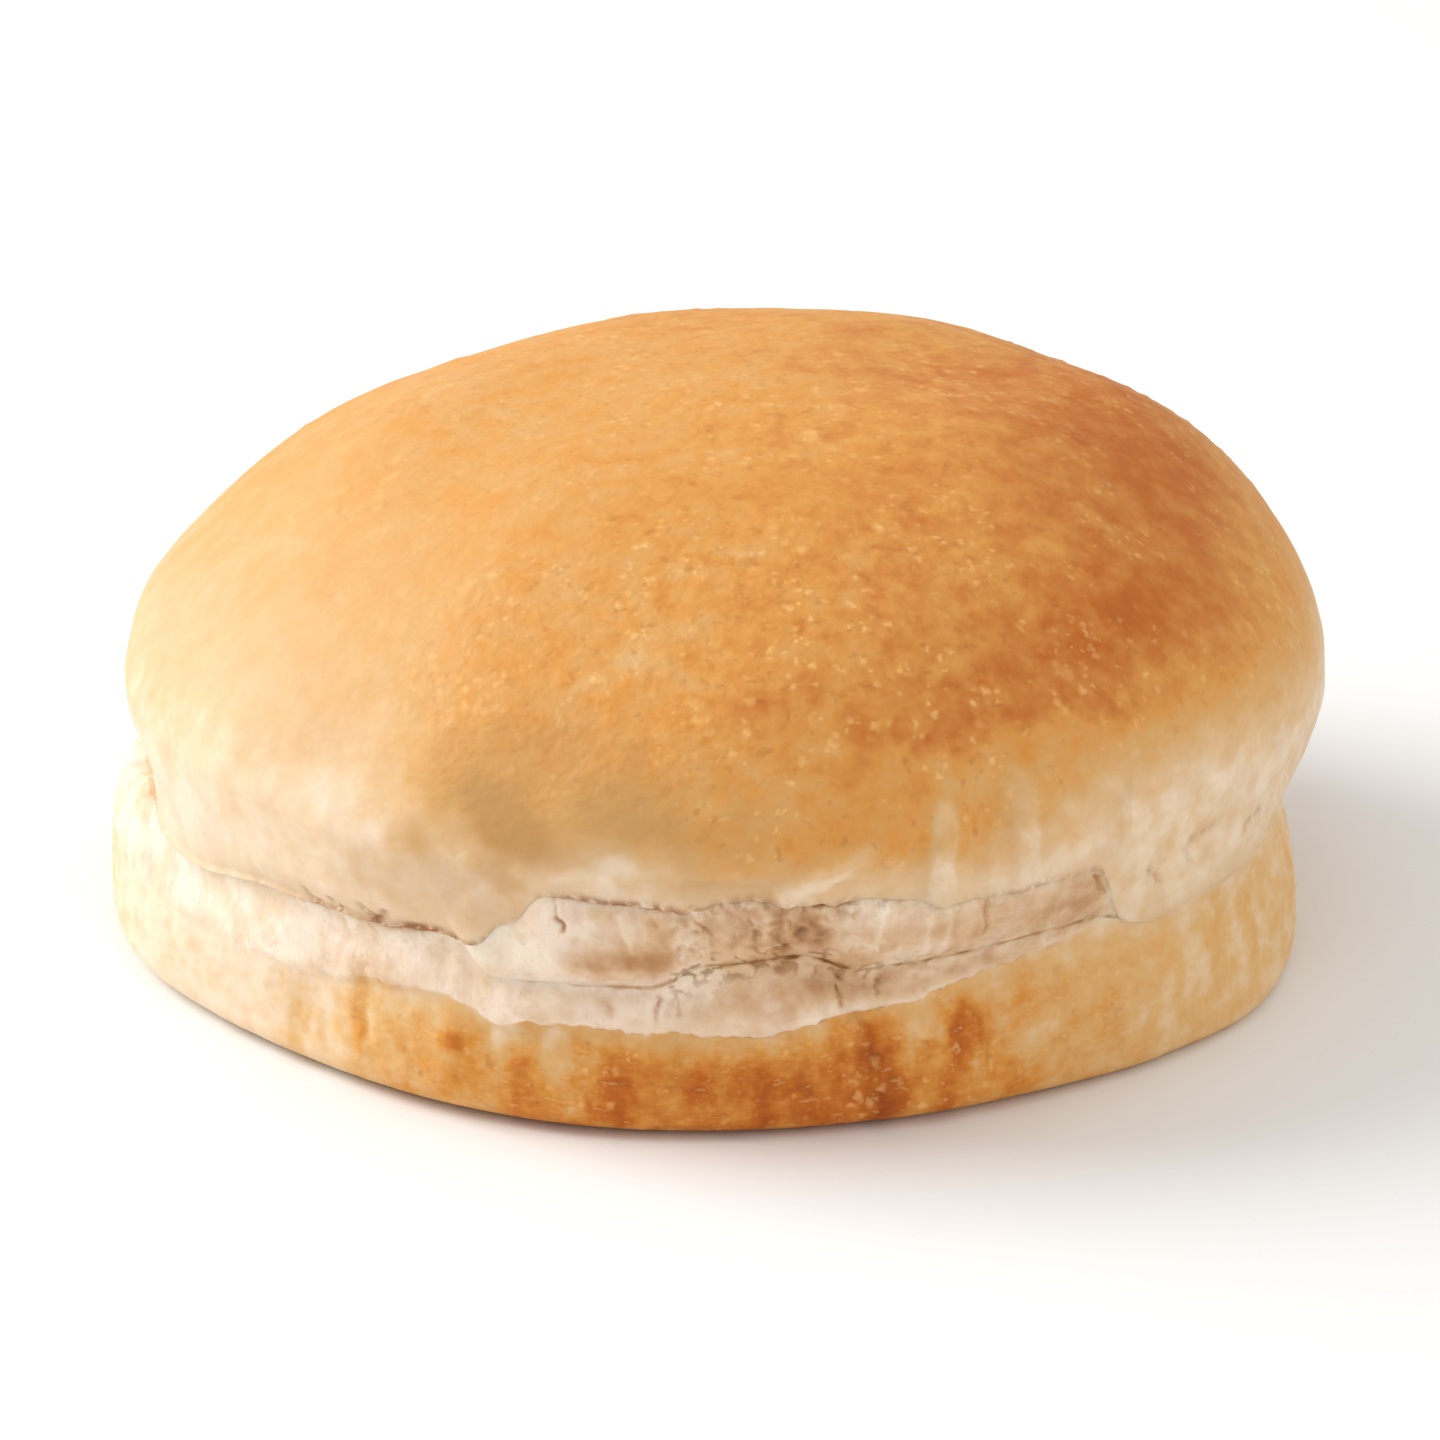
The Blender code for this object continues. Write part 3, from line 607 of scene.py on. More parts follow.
def crust_edge(bearing):
    """Height of the crust's lower edge: the ragged tear line where it is torn, and the cut edge elsewhere."""
    place = CROWN_RADIUS * outward(bearing)
    rough = along(bearing, RAGGED)
    ragged = mixed(place, TEAR_WAVES) + mixed(place, TEAR_NIBBLES) * (0.4 + 0.6 * rough)
    tear = along(bearing, TEAR_LINE) + ragged * (0.6 + 0.8 * rough)
    nicks = (0.4 + 1.4 * rough) * np.maximum(ragged, 0) * (1 - along(bearing, CLOSED))
    return between((crown_foot(bearing) + nicks, tear), along(bearing, TORN))


def seam_distance(bearing, height):
    """Distance in mm, along the side, to the cut: the least over its stretches a few degrees either way."""
    nearest = np.inf
    for start, end in zip(SEAM_LOOK[:-1], SEAM_LOOK[1:]):
        run, low = (end - start) * HEEL_RADIUS, cut_edge(bearing + start)
        rise = cut_edge(bearing + end) - low
        share = np.clip(((height - low) * rise - start * HEEL_RADIUS * run) / (run**2 + rise**2), 0, 1)
        away = np.hypot(start * HEEL_RADIUS + share * run, height - low - share * rise)
        nearest = np.minimum(nearest, away)
    return nearest


def beside_seam(bearing, height, reach):
    """1 at the seam, and a bell of the distance to it."""
    return bell(seam_distance(bearing, height), reach)


def seam_swell(bearing, height):
    """How far an edge swells out beside the seam, in mm."""
    return along(bearing, SEAM_FILL) * beside_seam(bearing, height, SEAM_REACH)


def seam_shade_line(bearing, height, place):
    """Broken line of painted shade along the closed seam, 0 to 1: a narrow bell of the distance to it, where
    noise keeps it.
    """
    kept = smooth(0.5 + mixed(place, SEAM_LINE_BREAKS))
    width = 0.22 + mixed(place, SEAM_LINE_WIDTH)
    return along(bearing, SEAM_SHADE) * kept * beside_seam(bearing, height, width)


def crown_reach(bearing, height, cut):
    """Radius of the crown's plain side at a height below its girth."""
    drop = np.clip((girth(bearing) - height) / (girth(bearing) - cut), 0, 1)
    return outline(bearing, CROWN_RADIUS, CROWN_WAVES) - CROWN_UNDERCUT * (1 - np.sqrt(1 - drop * drop))


def heel_reach(bearing, height, cut):
    """Radius of the heel's plain side at a height above its widest place. Its top curls in to the cut edge."""
    climb = np.clip((height - HEEL_WIDEST_HEIGHT) / (cut - CUT_GAP - HEEL_WIDEST_HEIGHT), 0, 1)
    level = np.sqrt(1 - climb * climb)
    return outline(bearing, HEEL_RADIUS, HEEL_WAVES) * (1 - HEEL_TOP_INSET * (1 - level))


def crown_aside(bearing):
    """How far the crown's middle lies out from the heel's in the direction of a bearing."""
    aside, behind = np.subtract(CROWN_SHIFT, HEEL_SHIFT)
    return aside * np.sin(bearing) - behind * np.cos(bearing)


def valley(bearing, height):
    """Distance from the heel's middle to the shared side beside the seam: a cubic curve that leaves the heel's
    side and the crown's, one reach below and above the seam, in their own directions."""
    cut, small = cut_edge(bearing), 0.05
    ends = []
    for reach, level in ((heel_reach, cut - FLUSH_REACH), (crown_reach, cut + FLUSH_REACH)):
        low, high = reach(bearing, level - small, cut), reach(bearing, level + small, cut)
        ends.append(((low + high) / 2, (high - low) / small * FLUSH_REACH))
    (foot, foot_slope), (head, head_slope) = ends
    head = head + crown_aside(bearing)
    share = np.clip((height - cut) / FLUSH_REACH, -1, 1) * 0.5 + 0.5
    bend = foot_slope * share * (1 - share) ** 2 - head_slope * share**2 * (1 - share)
    return foot + (head - foot) * smooth(share) + bend


def flush(bearing, height, plain):
    """How far a side moves out from its plain distance, in mm, to follow the shared side beside the seam."""
    beside = np.abs(height - cut_edge(bearing)) < FLUSH_REACH
    return np.where(beside, along(bearing, FLUSH) * (valley(bearing, height) - plain), 0)


def crown_flush(bearing, height):
    """How far the crown's lower side moves out, in mm: to the shared side, and by the swell beside the seam.
    Where the edges meet closely it also crosses the heel's side at the cut, at a slight angle."""
    at_heel = seam_bearing(bearing)
    cut = crown_cut(bearing)
    plain = crown_reach(bearing, height, cut) + crown_aside(bearing)
    crossing = CROSSING * along(bearing, CLOSED) * np.clip((height - cut) / CROSSING_REACH, -1, 1)
    return flush(at_heel, height, plain) + seam_swell(at_heel, height) + crossing


def calm(bearing, height):
    """Share of the relief left beside the seam: none where both sides meet flush and the crumb is smooth."""
    smoothed = along(bearing, FLUSH) * (1 - along(bearing, RAGGED) * (1 - along(bearing, CLOSED)))
    return 1 - smoothed * beside_seam(bearing, height, CALM_REACH)


def crust_blisters(height, place):
    """Small raised blisters of the crust, 0 to 1, in clusters on the upper side."""
    clusters = smooth(0.5 + mixed(place, BLISTER_CLUSTERS)) * smooth((height - 27) / 7)
    large = pores(place, 2.8, 24, 0.6, BLISTER_REACH) ** 1.5
    small = 0.7 * pores(place, 1.7, 25, 0.5, BLISTER_REACH)
    return clusters * np.maximum(large, small)


def crust_relief(bearing, height, place, edge):
    """Relief of the crust: lumps, shallow wrinkles, small blisters, narrow folds and the torn lip's curl."""
    torn = along(bearing, TORN)
    wrinkles = -0.05 * creases(place * (1, 1, 1.8), 3, 26) * smooth((height - 25) / 8)
    curl = torn * 0.22 * along(bearing, LIP) * bell(height - edge, 1.2)
    tuck = (torn - 1) * (1 - along(bearing, CLOSED)) * 0.1 * bell(height - edge, 0.5)
    raised = 0.18 * crust_blisters(height, place)
    lines = streaks(bearing, height, CRUST_FOLDS) - streaks(bearing, height, EDGE_NICKS)
    return mixed(place, CRUST_LUMPS) + wrinkles + raised + curl + tuck + lines


def crust_bake(bearing, height):
    """How baked the crust is: pale at its lower edge, golden above, and browner in a few places. Its paleness
    on the left is partly painted light, and the paler streak along the flap is a painted highlight.
    """
    place = CROWN_RADIUS * outward(bearing) + point(0, 0, height)
    above = height - along(bearing, PALE_LINE) + mixed(place, BAKE_WAVES)
    golden = smooth(above / along(bearing, PALE_FADE) + 0.5)
    tones = dents(bearing, height, CROWN_TONES) + patches(bearing, height, place, CRUST_PATCHES)
    return np.clip(0.06 + 0.46 * golden + tones - streaks(bearing, height, FLAP_HIGHLIGHT), 0, 1)


def placed(name, data):
    """New object in the scene."""
    made = bpy.data.objects.new(name, data)
    bpy.context.scene.collection.objects.link(made)
    return made


def skin(name, rings, first, last, **values):
    """Closed piece in metres. Squares join the rings, given in order, and a fan closes each end. Each value is
    an attribute with one number for each point of the rings."""
    rows, count = rings.shape[:2]
    points = np.concatenate((rings.reshape(-1, 3), [first, last]))
    here, row = np.arange(count), np.arange(rows - 1)[:, None] * count
    there = np.roll(here, -1)
    squares = np.stack((row + here, row + count + here, row + count + there, row + there), axis=-1)
    bottom = (rows - 1) * count
    top_fan = np.stack((np.full(count, rows * count), here, there), axis=-1)
    end_fan = np.stack((np.full(count, rows * count + 1), bottom + there, bottom + here), axis=-1)
    faces = squares.reshape(-1, 4).tolist() + top_fan.tolist() + end_fan.tolist()
    mesh = bpy.data.meshes.new(name)
    mesh.from_pydata(((points + CENTRE_SHIFT) * MM).tolist(), [], faces)
    for key, numbers in values.items():
        whole = np.concatenate((numbers.ravel(), numbers[0, :1], numbers[-1, :1])).astype(np.float32)
        mesh.attributes.new(key, "FLOAT", "POINT").data.foreach_set("value", whole)
    mesh.shade_smooth()
    return placed(name, mesh)


def padded(values, above, below, mode="edge"):
    """A side's values, with rows for the rings above and below it: its own end rows again, or zeros."""
    return np.pad(values, ((above, below), (0, 0)), mode=mode)


def drawn_in(ring, shares, height):
    """Rings hidden inside the bun, near a height: the ring drawn in to each share of its size."""
    return [ring * (share, share, 0) + (height - share) * UP for share in shares]


def corner(ring, bearing, rounding, up):
    """Rings of a rounded corner: a quarter circle from the ring, in and up, or in and down for -1."""
    angle = (np.arange(1, CORNER_ROWS + 1) / CORNER_ROWS * QUARTER)[:, None, None]
    rounding = rounding[:, None]
    middle = ring - rounding * outward(bearing)
    return middle + rounding * (np.cos(angle) * outward(bearing) + up * np.sin(angle) * UP)


def crown_crust():
    """The crown's baked crust: the dome from its apex to the lower edge, the edge's rounded lip, and a hidden
    underside that closes it inside the bun."""
    bearing = columns(CRUST_COLUMNS)
    edge = crust_edge(bearing)
    share = (1 - (1 - np.arange(1, CRUST_ROWS + 1) / CRUST_ROWS) ** 1.2)[:, None]
    turn = share * MEAN_TURN + share**2 * (turn_at(bearing, edge) - MEAN_TURN)
    plain, normal = crown_skin(bearing, turn)
    cut = crown_cut(bearing)
    share_low = np.clip(1 - (plain[..., 2] - cut) / LOWERED_REACH, 0, 1)
    plain[..., 2] += np.minimum(edge - cut, 0) * share_low
    height = plain[..., 2]
    relief = crust_relief(bearing, height, plain, edge) * calm(seam_bearing(bearing), height)
    fade = np.minimum(1, np.sin(np.minimum(turn, QUARTER)) * 8)
    outer = plain + (relief * fade)[..., None] * normal
    low = np.where(turn > QUARTER, crown_flush(bearing, np.minimum(height, girth(bearing))), 0)
    outer = outer + low[..., None] * outward(bearing)

    thickness = between(LIP_THICKNESS, along(bearing, LIP))
    thickness = thickness * (1 + mixed(CROWN_RADIUS * outward(bearing), LIP_WAVES))
    step = outer[-1] - outer[-LIP_LOOK]
    step_out, step_up = np.sum(step * outward(bearing), axis=-1), step[:, 2]
    length = np.hypot(step_out, step_up)
    along_skin, across_skin = (step_out / length)[:, None], (step_up / length)[:, None]
    tangent = along_skin * outward(bearing) + across_skin * UP
    side = -across_skin * outward(bearing) + along_skin * UP
    angle = (np.arange(1, LIP_ROWS + 1) / LIP_ROWS * math.pi)[:, None, None]
    half = (thickness / 2)[:, None]
    lip = outer[-1] - side * half + half * (np.cos(angle) * side + np.sin(angle) * tangent)
    inner = lip[-1] - LIP_BACK * tangent - LIP_DOWN * side
    rings = np.concatenate((outer, lip, [inner], drawn_in(inner, CLOSING_SHARES, CLOSING_HEIGHT)))

    extra = len(rings) - CRUST_ROWS
    lip_brown_and_shadow = along(bearing, LIP_BROWN_AND_SHADOW)
    broken = smooth(0.5 + mixed(CROWN_RADIUS * outward(bearing), LIP_TONE_BREAKS))
    lip_brown_and_shadow = np.maximum(broken * lip_brown_and_shadow, lip_brown_and_shadow**2)
    # Brown along the torn lip and in the edge nicks: partly browned crust, and partly painted shadow under the
    # lip and in the nicks
    brown = 0.9 * bell(height - edge, 0.4) * lip_brown_and_shadow + 1.5 * streaks(bearing, height, EDGE_NICKS)
    # Tan patches: partly the crust's own tone and partly painted shade
    tanned = patches(bearing, height, plain, TAN_AND_SHADE_PATCHES)
    lively = along(bearing, LIVELY)
    lively = lively + (LIVELY_TOP - lively) * smooth((height - 41) / 5)
    return skin(
        "crown_crust", rings, crown_skin(np.zeros(1), np.zeros(1))[0][0], CLOSING_HEIGHT * UP,
        bake=padded(crust_bake(bearing, height), 0, extra),
        brown=np.concatenate((np.minimum(brown, 1), np.tile(lip_brown_and_shadow, (extra, 1)))),
        torn=np.concatenate((bell(height - edge, 2.2), np.ones((extra, CRUST_COLUMNS)))),
        raised=padded(crust_blisters(height, plain), 0, extra, "constant"),
        tanned=padded(tanned, 0, extra, "constant"),
        lively=padded(lively * (1 - 0.6 * tanned), 0, extra),
    )


def cut_face(bearing, lift):
    """Rings of a cut face, from near its middle to near its edge. It is level in the middle and bends to the
    edge's height, and the grain that the knife left fades out at both."""
    rings = []
    for share in CUT_FACE_SHARES:
        radius = outline(bearing, HEEL_RADIUS, HEEL_WAVES) * (1 - HEEL_TOP_INSET) * share
        height = CUT_HEIGHT + (cut_edge(bearing) - CUT_HEIGHT) * share**CUT_FACE_BEND + lift
        place = heel_point(bearing, radius, height)
        grain = CUT_ROUGHNESS * mixed(place, CUT_GRAIN) * smooth((1 - share) / 0.1) * smooth(share / 0.2)
        rings.append(place + grain[..., None] * UP)
    return rings


def crumb_tone_and_shade(bearing, height, place):
    """How much darker than plain cream the torn crumb is: soft patches of its own tone and of painted shade,
    that noise breaks up.
    """
    return dents(bearing, height, CRUMB_TONES_AND_SHADE) * (0.75 + 0.5 * smooth(0.5 + mixed(place, CRUMB_TONE_BREAKS)))


def crown_crumb():
    """The crown's crumb: a band of torn crumb that shows below the crust's lip, its ragged lower corner, and
    the cut face. It is set back from the crust's skin, and its pillows swell out again."""
    bearing = columns(CRUMB_COLUMNS)
    at_heel = seam_bearing(bearing)
    edge, cut, torn = crust_edge(bearing), crown_cut(bearing), along(bearing, TORN)
    ragged = along(bearing, RAGGED)
    closed = closeness(at_heel)
    nibble = np.clip(0.15 + mixed(CROWN_RADIUS * outward(bearing), CRUMB_NIBBLES), 0, 1.2)
    foot = crown_foot(bearing) + nibble * (0.06 + 0.7 * ragged) * torn * (1 - closed)
    rounding = between(CROWN_CORNER, closed)
    top = np.maximum(edge + 1, foot + 0.4)
    share = (np.arange(CRUMB_ROWS) / (CRUMB_ROWS - 1))[:, None]
    height = np.maximum(top + (foot + rounding - top) * share, foot + rounding * (1 - share))
    plain, _ = crown_skin(bearing, turn_at(bearing, height))
    plain[..., 2] += np.minimum(height - cut, 0)
    quiet = calm(at_heel, height)
    setback = between(CRUMB_SETBACK, along(bearing, LIP)) * quiet
    behind = smooth((height - edge + 0.12) / 0.5)
    covered = smooth(1.2 - (edge - foot) / 0.6)
    setback = setback + (HIDDEN_SETBACK - setback) * np.maximum(behind, covered)
    swell = pillows(bearing, height, cut, along(bearing, TEAR_LINE), CROWN_PILLOWS)
    swell = swell * along(bearing, TEAR_OPEN)
    rough = (0.1 + 0.9 * ragged) * (0.55 + 0.9 * smooth(0.5 + mixed(plain, CRUMB_ROUGH_WAVES)))
    crooked = bent(plain, 1.3, 0.7, 35)
    torn_up = rough * tatters(crooked * (1, 1, 0.8), 1.8, 43)
    pits = rough * holes(crooked, CRUMB_PORES, smooth((cut + 2.4 - height) / 2.4), 1.5)
    cracks = streaks(bearing, height, CRUMB_CRACKS)
    strands = streaks(bearing, height, CRUMB_STRANDS)
    relief = torn * (mixed(plain, CRUMB_LUMPS) + 0.24 * torn_up - pits - cracks + strands)
    out = crown_flush(bearing, height) - setback + quiet * (swell + relief)
    band = plain + out[..., None] * outward(bearing)

    # Painted shade in the pits and cracks, and painted light on the crests and strands
    hollow = quiet * torn * (0.35 * pits + 0.7 * cracks - 0.16 * torn_up - 0.5 * strands)
    hollow = hollow + crumb_tone_and_shade(bearing, height, plain) + 0.7 * seam_shade_line(at_heel, height, plain)
    # Painted shade in the crease at the seam and under the crust's torn edge, where the seam is open
    shade = 0.35 * smooth(1 - (height - foot) / 0.7) + 0.25 * smooth(1 - np.abs(edge - height) / 0.5)
    hollow = hollow + shade * (1 - along(bearing, CLOSED))
    flecked = ragged * np.maximum(beside_seam(at_heel, height, 1.5), 0.7 * bell(edge - height, 1.2))
    hidden = drawn_in(band[0], HIDDEN_SHARES, HIDDEN_HEIGHT)
    faces = cut_face(at_heel, -CUT_MEETING)[::-1]
    rings = np.concatenate((hidden, band, corner(band[-1], bearing, rounding, -1), faces))
    above, below = len(hidden), CORNER_ROWS + len(faces)
    hollow, flecked = padded(hollow, above, below), padded(flecked, above, below)
    hollow[-len(faces):] = 0.25
    flecked[-len(faces):] = 0.1
    top, bottom = (0, 0, 23.6), (*HEEL_SHIFT, CUT_HEIGHT)
    return skin("crown_crumb", rings, top, bottom, hollow=hollow, flecked=flecked)


def heel_point(bearing, radius, height):
    """Point at a radius from the heel's middle."""
    return point(HEEL_SHIFT[0] + radius * np.sin(bearing), HEEL_SHIFT[1] - radius * np.cos(bearing), height)


def heel_bumps(bearing, height):
    """Dents and slow waves of the heel's side, in mm."""
    waves = unevenness(HEEL_RADIUS * np.sin(bearing), HEEL_RADIUS * np.cos(bearing), height)
    return dents(bearing, height, HEEL_DENTS) + waves


def heel_lumps(place):
    """Fine relief of the heel's crust, in mm: lumps, upright furrows and level creases."""
    furrows = mixed(place * (1, 1, 0.3), HEEL_FURROWS)
    return mixed(place, HEEL_LUMPS) + furrows - 0.12 * creases(place * (1, 1, 2), 2.6, 62)


def heel_side(bearing, height):
    """Radius of the heel's side at a height above its widest place, with its dents, and the share of its relief
    that is left towards its top."""
    plain = heel_reach(bearing, height, cut_edge(bearing))
    climb = (height - HEEL_WIDEST_HEIGHT) / (cut_edge(bearing) - CUT_GAP - HEEL_WIDEST_HEIGHT)
    left = np.clip(1 - climb**2, 0, 1) ** (0.25 - 0.25 * along(bearing, FLUSH)) * calm(bearing, height)
    moved = plain + seam_swell(bearing, height) + flush(bearing, height, plain)
    return moved + heel_bumps(bearing, height) * left, left


def heel_foot(bearing):
    """Rings of the heel's foot, a superellipse corner that draws in below the widest place while its relief
    fades, and of the flat base."""
    step = np.arange(1, FOOT_ROWS + 1)[:, None] / FOOT_ROWS
    drop = np.sin(step * QUARTER)
    tuck = 1 - (1 - np.minimum(drop, 1) ** HEEL_FOOT_ROUNDNESS) ** (1 / HEEL_FOOT_ROUNDNESS)
    height = HEEL_WIDEST_HEIGHT * (1 - drop)
    radius = outline(bearing, HEEL_RADIUS, HEEL_WAVES) * (1 - along(bearing, FOOT_INSET) * tuck)
    place = heel_point(bearing, radius, height)
    relief = (heel_bumps(bearing, height) + heel_lumps(place)) * (1 - step)
    foot = place + relief[..., None] * outward(bearing)
    return np.concatenate((foot, [foot[-1] * (share, share, 1) for share in BASE_SHARES]))


def heel():
    """The heel: its cut face, the ragged pale rim of crumb, the golden wall, the foot and the flat base."""
    bearing = columns(HEEL_COLUMNS)
    around = HEEL_RADIUS * outward(bearing)
    cut = cut_edge(bearing) - CUT_GAP
    opened, ragged, closed = along(bearing, RIM_OPEN), along(bearing, RAGGED), closeness(bearing)
    nibble = np.clip(0.1 + mixed(around, RIM_NIBBLES), 0, 1.2) * (0.12 + 0.6 * ragged) * (1 - closed)
    brow = cut + between(HEEL_RISE, closed) - nibble
    rounding = between(HEEL_CORNER, closed)
    wavy = mixed(around, RIM_WAVES) * (0.4 + 0.6 * opened)
    rim = np.minimum(along(bearing, RIM_TOP) + wavy, brow - 0.1)
    shoulder = brow - rounding
    step_down = np.minimum(rim, shoulder - 0.6)
    rim_share = (np.arange(RIM_ROWS) / (RIM_ROWS - 1))[:, None]
    wall_share = (np.arange(1, WALL_ROWS + 1) / WALL_ROWS)[:, None]
    wall = between((step_down, HEEL_WIDEST_HEIGHT), wall_share)
    height = np.concatenate((between((shoulder, step_down), rim_share), wall))
    radius, left = heel_side(bearing, height)
    place = heel_point(bearing, radius, height)
    step = RIM_STEP * smooth((height - rim) / RIM_STEP_HEIGHT + 0.5)
    torn = opened * (step + pillows(bearing, height, rim, cut, RIM_PILLOWS)) * left
    crumb = smooth((height - rim) / along(bearing, RIM_SOFTNESS) + 0.5)
    rough = 0.1 + 0.9 * ragged
    near_cut = smooth((height - cut + 2.2) / 2.2)
    crooked = bent(place, 1.3, 0.7, 38)
    torn_up = rough * tatters(crooked, 1.7, 56) * (0.3 + 0.7 * near_cut)
    pits = rough * holes(crooked, RIM_PORES, near_cut, 1)
    cracks = streaks(bearing, height, RIM_CRACKS)
    crumb_relief = crumb * (mixed(place, RIM_LUMPS) + 0.28 * torn_up - pits)
    crust_bumps = (1 - crumb) * (heel_lumps(place) + mixed(place, HEEL_GRAIN))
    calmed = calm(bearing, height)
    relief = torn + calmed * (crumb_relief + crust_bumps - cracks)
    side = place + relief[..., None] * outward(bearing)
    faces = cut_face(bearing, CUT_MEETING - CUT_GAP)
    foot = heel_foot(bearing)
    rings = np.concatenate((faces, corner(side[0], bearing, rounding, 1)[::-1], side, foot))

    above, below = len(faces) + CORNER_ROWS, len(foot)
    baked = along(bearing, HEEL_BAKE)
    depth = smooth((rim + 0.6 - height) / 4.5)
    bake = baked * (0.42 + 0.58 * depth) + 1.3 * patches(bearing, height, place, HEEL_PATCHES)
    bake = bake + mixed(place * (1, 1, 0.5), HEEL_BAKE_WAVES) * smooth(baked / 0.3)
    bake = padded(bake, above, below)
    bake[-len(BASE_SHARES):] = 0.6
    # Painted shade just below the heel's top edge, where the seam is open
    shade = 0.3 * smooth(1 - (brow - height) / 0.6) * (1 - along(bearing, CLOSED))
    # Painted shade in the pits and cracks, and painted light on the crests
    hollow = calmed * (crumb * (0.4 * pits - 0.16 * torn_up) + 0.7 * cracks) + shade
    hollow = hollow + crumb * crumb_tone_and_shade(bearing, height, place) + 0.7 * seam_shade_line(bearing, height, place)
    hollow = padded(hollow, above, below)
    flecked = padded(ragged * beside_seam(bearing, height, 1.6), above, below)
    hollow[: len(faces)] = flecked[: len(faces)] = 0.1
    return skin(
        "heel_bread", rings, (*HEEL_SHIFT, CUT_HEIGHT - CUT_GAP), (*HEEL_SHIFT, 0),
        bake=bake, crumb=padded(crumb, above, below), hollow=hollow, flecked=flecked,
    )


# Finishes
SOFT_CRUST = {"Subsurface_Weight": 0.2, "Subsurface_Radius": (1.6, 0.8, 0.4), "Subsurface_Scale": 0.001}
SOFT_CRUMB = {"Subsurface_Weight": 0.35, "Subsurface_Radius": (2, 1.2, 0.7), "Subsurface_Scale": 0.001}
CRUST_GLOSS, CRUMB_GLOSS, HEEL_GLOSS = 0.28, 0.15, 0.2


def ink(red, green, blue):
    """Linear colour, with alpha, from the 0 to 255 numbers of a screen colour."""
    channels = np.array((red, green, blue)) / 255
    linear = np.where(channels <= 0.04045, channels / 12.92, ((channels + 0.055) / 1.055) ** 2.4)
    return (*linear.tolist(), 1)


# Colours of bread, from pale to browned, and of the painted shade in the crumb's hollows: (place, red, green,
# blue)
CROWN_STOPS = (
    (0, 238, 216, 190), (0.07, 232, 205, 170), (0.14, 226, 190, 145), (0.34, 217, 168, 104),
    (0.52, 219, 153, 74), (0.74, 196, 109, 34), (1, 160, 76, 22),
)
HEEL_STOPS = (
    (0, 234, 212, 184), (0.25, 222, 180, 122), (0.5, 216, 149, 67), (0.75, 195, 109, 33), (1, 160, 78, 24),
)
HOLLOW_SHADE_STOPS = ((0, 255, 255, 255), (0.35, 234, 216, 196), (0.7, 206, 174, 142), (1, 138, 100, 68))
SPECK_AND_GLINT_COLOUR = ink(252, 204, 132)
FLECK_COLOUR = ink(164, 92, 40)
EDGE_BROWN_AND_SHADOW = ink(150, 92, 50)
FLECK_BROWN = ink(148, 104, 62)
BORDER_BROWN = ink(178, 124, 66)
HOLLOW_SHADE_BROWN = ink(146, 82, 38)
CRUMB_TAN = ink(212, 180, 146)
SHADED_TAN = ink(192, 146, 88)
TORN_PALE = ink(226, 194, 158)
PALE_TAN = ink(208, 168, 124)
CRUMB_LIGHT = ink(243, 226, 205)
CRUMB_WARM = ink(228, 199, 165)
CRUMB_PINK = ink(236, 212, 198)

# How a pattern is stretched along the three axes: wider than high, or higher than wide
EVEN = (1, 1, 1)
CRUST_STRETCH, WRINKLE_STRETCH, FLAKE_STRETCH = (1, 1, 1.3), (1, 1, 1.5), (1, 1, 2.2)
CRUMB_STRETCH, TAN_STRETCH = (1, 1, 0.7), (1, 1, 0.8)
BORDER_STRETCH, STREAK_STRETCH = (1, 1, 0.45), (1, 1, 0.35)


class Tone:
    """An output socket that can stand in a sum. Each operator adds a Math node to its finish."""

    def __init__(self, finish, socket):
        self.finish, self.socket = finish, socket

    def beside(self, output):
        """Another output of the same node."""
        return Tone(self.finish, self.socket.node.outputs[output])

    def worked(self, operation, *values):
        """Math node of an operation on the values."""
        return self.finish.node("Math", {"operation": operation}, dict(enumerate(values)))

    def __add__(self, other):
        return self.worked("ADD", self, other)

    def __sub__(self, other):
        return self.worked("SUBTRACT", self, other)

    def __rsub__(self, other):
        return self.worked("SUBTRACT", other, self)

    def __mul__(self, other):
        return self.worked("MULTIPLY", self, other)

    def __truediv__(self, other):
        return self.worked("DIVIDE", self, other)

    def __abs__(self):
        return self.worked("ABSOLUTE", self)

    __radd__, __rmul__ = __add__, __mul__


